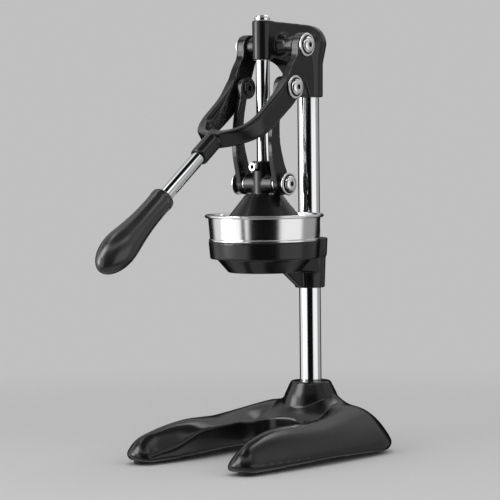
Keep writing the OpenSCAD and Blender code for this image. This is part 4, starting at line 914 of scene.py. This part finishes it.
# %% [markdown]
# ## Studio
# The photo has a plain grey ground with no horizon. The floor is a wide disc of the same
# grey that fades out before its edge, and it keeps the shadow of the press.
# %% Lay the floor
GREY, DIM_LEVEL, FLOOR_R, FADE_START, FADE_END = 0.527, 0.73, 1.1, 0.35, 1.0
floor_bm = bmesh.new()
bmesh.ops.create_circle(floor_bm, cap_ends=True, segments=64, radius=FLOOR_R)
floor = put_in_scene(mesh_from(floor_bm, "floor"), "floor")
floor.visible_glossy = False

floor_look = bpy.data.materials.new("floor_paper")
tree = blank_tree(floor_look)
spot = add_node(tree, "ShaderNodeTexCoord")
far_out = add_node(tree, "ShaderNodeVectorMath", {"operation": "LENGTH"},
                   links={"Vector": spot.outputs["Object"]})
fade = add_node(tree, "ShaderNodeMapRange", {"interpolation_type": "SMOOTHSTEP"},
                inputs={"From Min": FADE_START, "From Max": FADE_END},
                links={"Value": far_out.outputs["Value"]})
paper = add_node(tree, "ShaderNodeBsdfDiffuse", inputs={"Color": (GREY, GREY, GREY, 1)})
clear = add_node(tree, "ShaderNodeBsdfTransparent")
mixed = add_node(tree, "ShaderNodeMixShader", links={
    "Fac": fade.outputs["Result"], 1: paper.outputs["BSDF"], 2: clear.outputs["BSDF"]})
add_node(tree, "ShaderNodeOutputMaterial", links={"Surface": mixed.outputs["Shader"]})
floor.data.materials.append(floor_look)
print("floor radius", FLOOR_R)

# %% [markdown]
# The world has two strengths. What the camera sees, directly or through a reflection or a
# clear piece, is the photo's grey. What lights the press from all round is a dimmer white.
# %% Set the world behind the press
world = bpy.data.worlds.new("grey_studio")
bpy.context.scene.world = world
tree = blank_tree(world)
path = add_node(tree, "ShaderNodeLightPath")
seen = maths(tree, "MAXIMUM", path.outputs["Is Camera Ray"], path.outputs["Is Glossy Ray"])
seen = maths(tree, "MAXIMUM", seen, path.outputs["Is Transmission Ray"])
dim = add_node(tree, "ShaderNodeBackground",
               inputs={"Color": (1, 1, 1, 1), "Strength": DIM_LEVEL})
ground = add_node(tree, "ShaderNodeBackground",
                  inputs={"Color": (GREY, GREY, GREY, 1), "Strength": 1.0})
mixed = add_node(tree, "ShaderNodeMixShader", links={
    "Fac": seen, 1: dim.outputs["Background"], 2: ground.outputs["Background"]})
add_node(tree, "ShaderNodeOutputWorld", links={"Surface": mixed.outputs["Shader"]})
print("grey level", GREY)

# %% [markdown]
# The stripes on the chrome and the soft patches on the enamel say where the lights
# stood: a wide wall on each side of the camera with black between them, brighter windows
# on the left and one behind, a strip high in front, and dim roofs and walls behind. A
# round tent about the press carries them all. Its glow depends only on the direction from
# the press, and the camera looks through it.
# %% Put up the tent
TENT_R = 1.5
TENT_MIDDLE = Vector((0, 0, 0.25))
tent_bm = bmesh.new()
bmesh.ops.create_uvsphere(tent_bm, u_segments=64, v_segments=32, radius=TENT_R)
move(tent_bm, Matrix.Translation(TENT_MIDDLE))
tent = put_in_scene(mesh_from(tent_bm, "light_tent"), "light_tent")
tent.visible_camera = False
tent.visible_shadow = False
tent.visible_diffuse = False
print("tent radius", TENT_R)

# %% [markdown]
# Each panel is a patch with soft edges: a band of directions round the press times a
# band of heights, both in degrees. Small maths nodes measure the direction, and one
# helper adds a patch to the total.
# %% Define how the tent is lit
tent_look = bpy.data.materials.new("tent_cards")
tree = blank_tree(tent_look)
spot = add_node(tree, "ShaderNodeTexCoord")
arrow = add_node(tree, "ShaderNodeVectorRotate", {"rotation_type": "Z_AXIS"},
                 inputs={"Center": TENT_MIDDLE, "Angle": math.pi / 2 - VIEW_TURN},
                 links={"Vector": spot.outputs["Object"]})
parts = add_node(tree, "ShaderNodeSeparateXYZ", links={"Vector": arrow.outputs["Vector"]})
turn = maths(tree, "DEGREES", maths(tree, "ARCTAN2", parts.outputs["Y"], parts.outputs["X"]))
height = maths(tree, "DEGREES", maths(tree, "ARCSINE", maths(
    tree, "DIVIDE", maths(tree, "SUBTRACT", parts.outputs["Z"], TENT_MIDDLE.z), TENT_R)))


def band(angle, middle, half, soft):
    turned = maths(tree, "WRAP", maths(tree, "SUBTRACT", angle, middle), 180.0, -180.0)
    edge = add_node(tree, "ShaderNodeMapRange", {"interpolation_type": "SMOOTHSTEP"},
                    inputs={"From Min": half - soft, "From Max": half + soft,
                            "To Min": 1.0, "To Max": 0.0},
                    links={"Value": maths(tree, "ABSOLUTE", turned)})
    return edge.outputs["Result"]


def patch(total, middle, half, soft, height_middle, height_half, height_soft, strength):
    spread = maths(tree, "MULTIPLY", band(turn, middle, half, soft),
                   band(height, height_middle, height_half, height_soft))
    return maths(tree, "MULTIPLY_ADD", spread, strength, total)

print("direction measured with", len(tree.nodes), "nodes")

# %% [markdown]
# The panels themselves are a table. A row holds the middle, half width and softness of
# the band of directions, the same for the band of heights, and the strength. Directions
# count from the camera, and the left is negative.
# %% Light the panels of the tent
panels = {
    "left wall": (-62, 29, 6, -4, 26, 12, 1.15),
    "left window": (-71, 18, 7, 38, 14, 6, 6.0),
    "left low window": (-83, 13, 6, 7, 14, 7, 5.5),
    "left roof": (-112, 22, 8, 62, 5, 4, 1.5),
    "left tail": (-110, 20, 8, -4, 34, 12, 0.8),
    "right back window": (146, 12, 8, 50, 10, 8, 2.2),
    "right wall": (59, 26, 6, -4, 22, 10, 1.0),
    "right high": (72, 34, 12, 40, 20, 10, 0.4),
    "right tail": (108, 24, 8, 0, 34, 12, 0.34),
    "front strip": (0, 75, 12, 53, 7, 5, 1.2),
    "back roof": (180, 80, 12, 62, 9, 8, 0.9),
    "back wall": (180, 60, 20, 34, 18, 8, 0.5),
    "floor glow": (0, 181, 1, -68, 26, 12, 0.5),
}
DARKEST = 0.004
total = DARKEST
for values in panels.values():
    total = patch(total, *values)
glow = add_node(tree, "ShaderNodeEmission", inputs={"Color": (1, 1, 1, 1)},
                links={"Strength": total})
add_node(tree, "ShaderNodeOutputMaterial", links={"Surface": glow.outputs["Emission"]})
tent.data.materials.append(tent_look)
print(len(panels), "panels in the tent")

# %% [markdown]
# The tent is only there for reflections. The light that falls on the press comes from
# three area lamps: one on each side of the camera and one overhead, all large, so that
# shadows stay soft.
# %% Hang the lamps
def area_lamp(name, turn_deg, reach, height, size, watts, aim_z):
    data = bpy.data.lights.new(name, "AREA")
    data.shape = "DISK"
    data.size = size
    data.energy = watts
    lamp = bpy.data.objects.new(name, data)
    away = math.radians(turn_deg) + VIEW_TURN - math.pi / 2
    spot = Vector((math.cos(away) * reach, math.sin(away) * reach, height))
    lamp.location = spot
    lamp.rotation_euler = (Vector((0, 0, aim_z)) - spot).to_track_quat("-Z", "Y").to_euler()
    bpy.context.scene.collection.objects.link(lamp)
    lamp.visible_glossy = False

area_lamp("left_panel_lamp", -55, 1.1, 0.8, 0.8, 2.7, 0.2)
area_lamp("right_panel_lamp", 55, 1.1, 0.8, 0.8, 1.8, 0.2)
area_lamp("overhead_lamp", 0, 0.25, 1.35, 0.9, 3.6, 0.0)
print("lamps hung")

# %% [markdown]
# Last, a small helper turns the two corners of a box into plain rounded numbers.
# %% Define how a box is rounded
def plain(box):
    return [[round(float(c), 6) for c in corner] for corner in box]
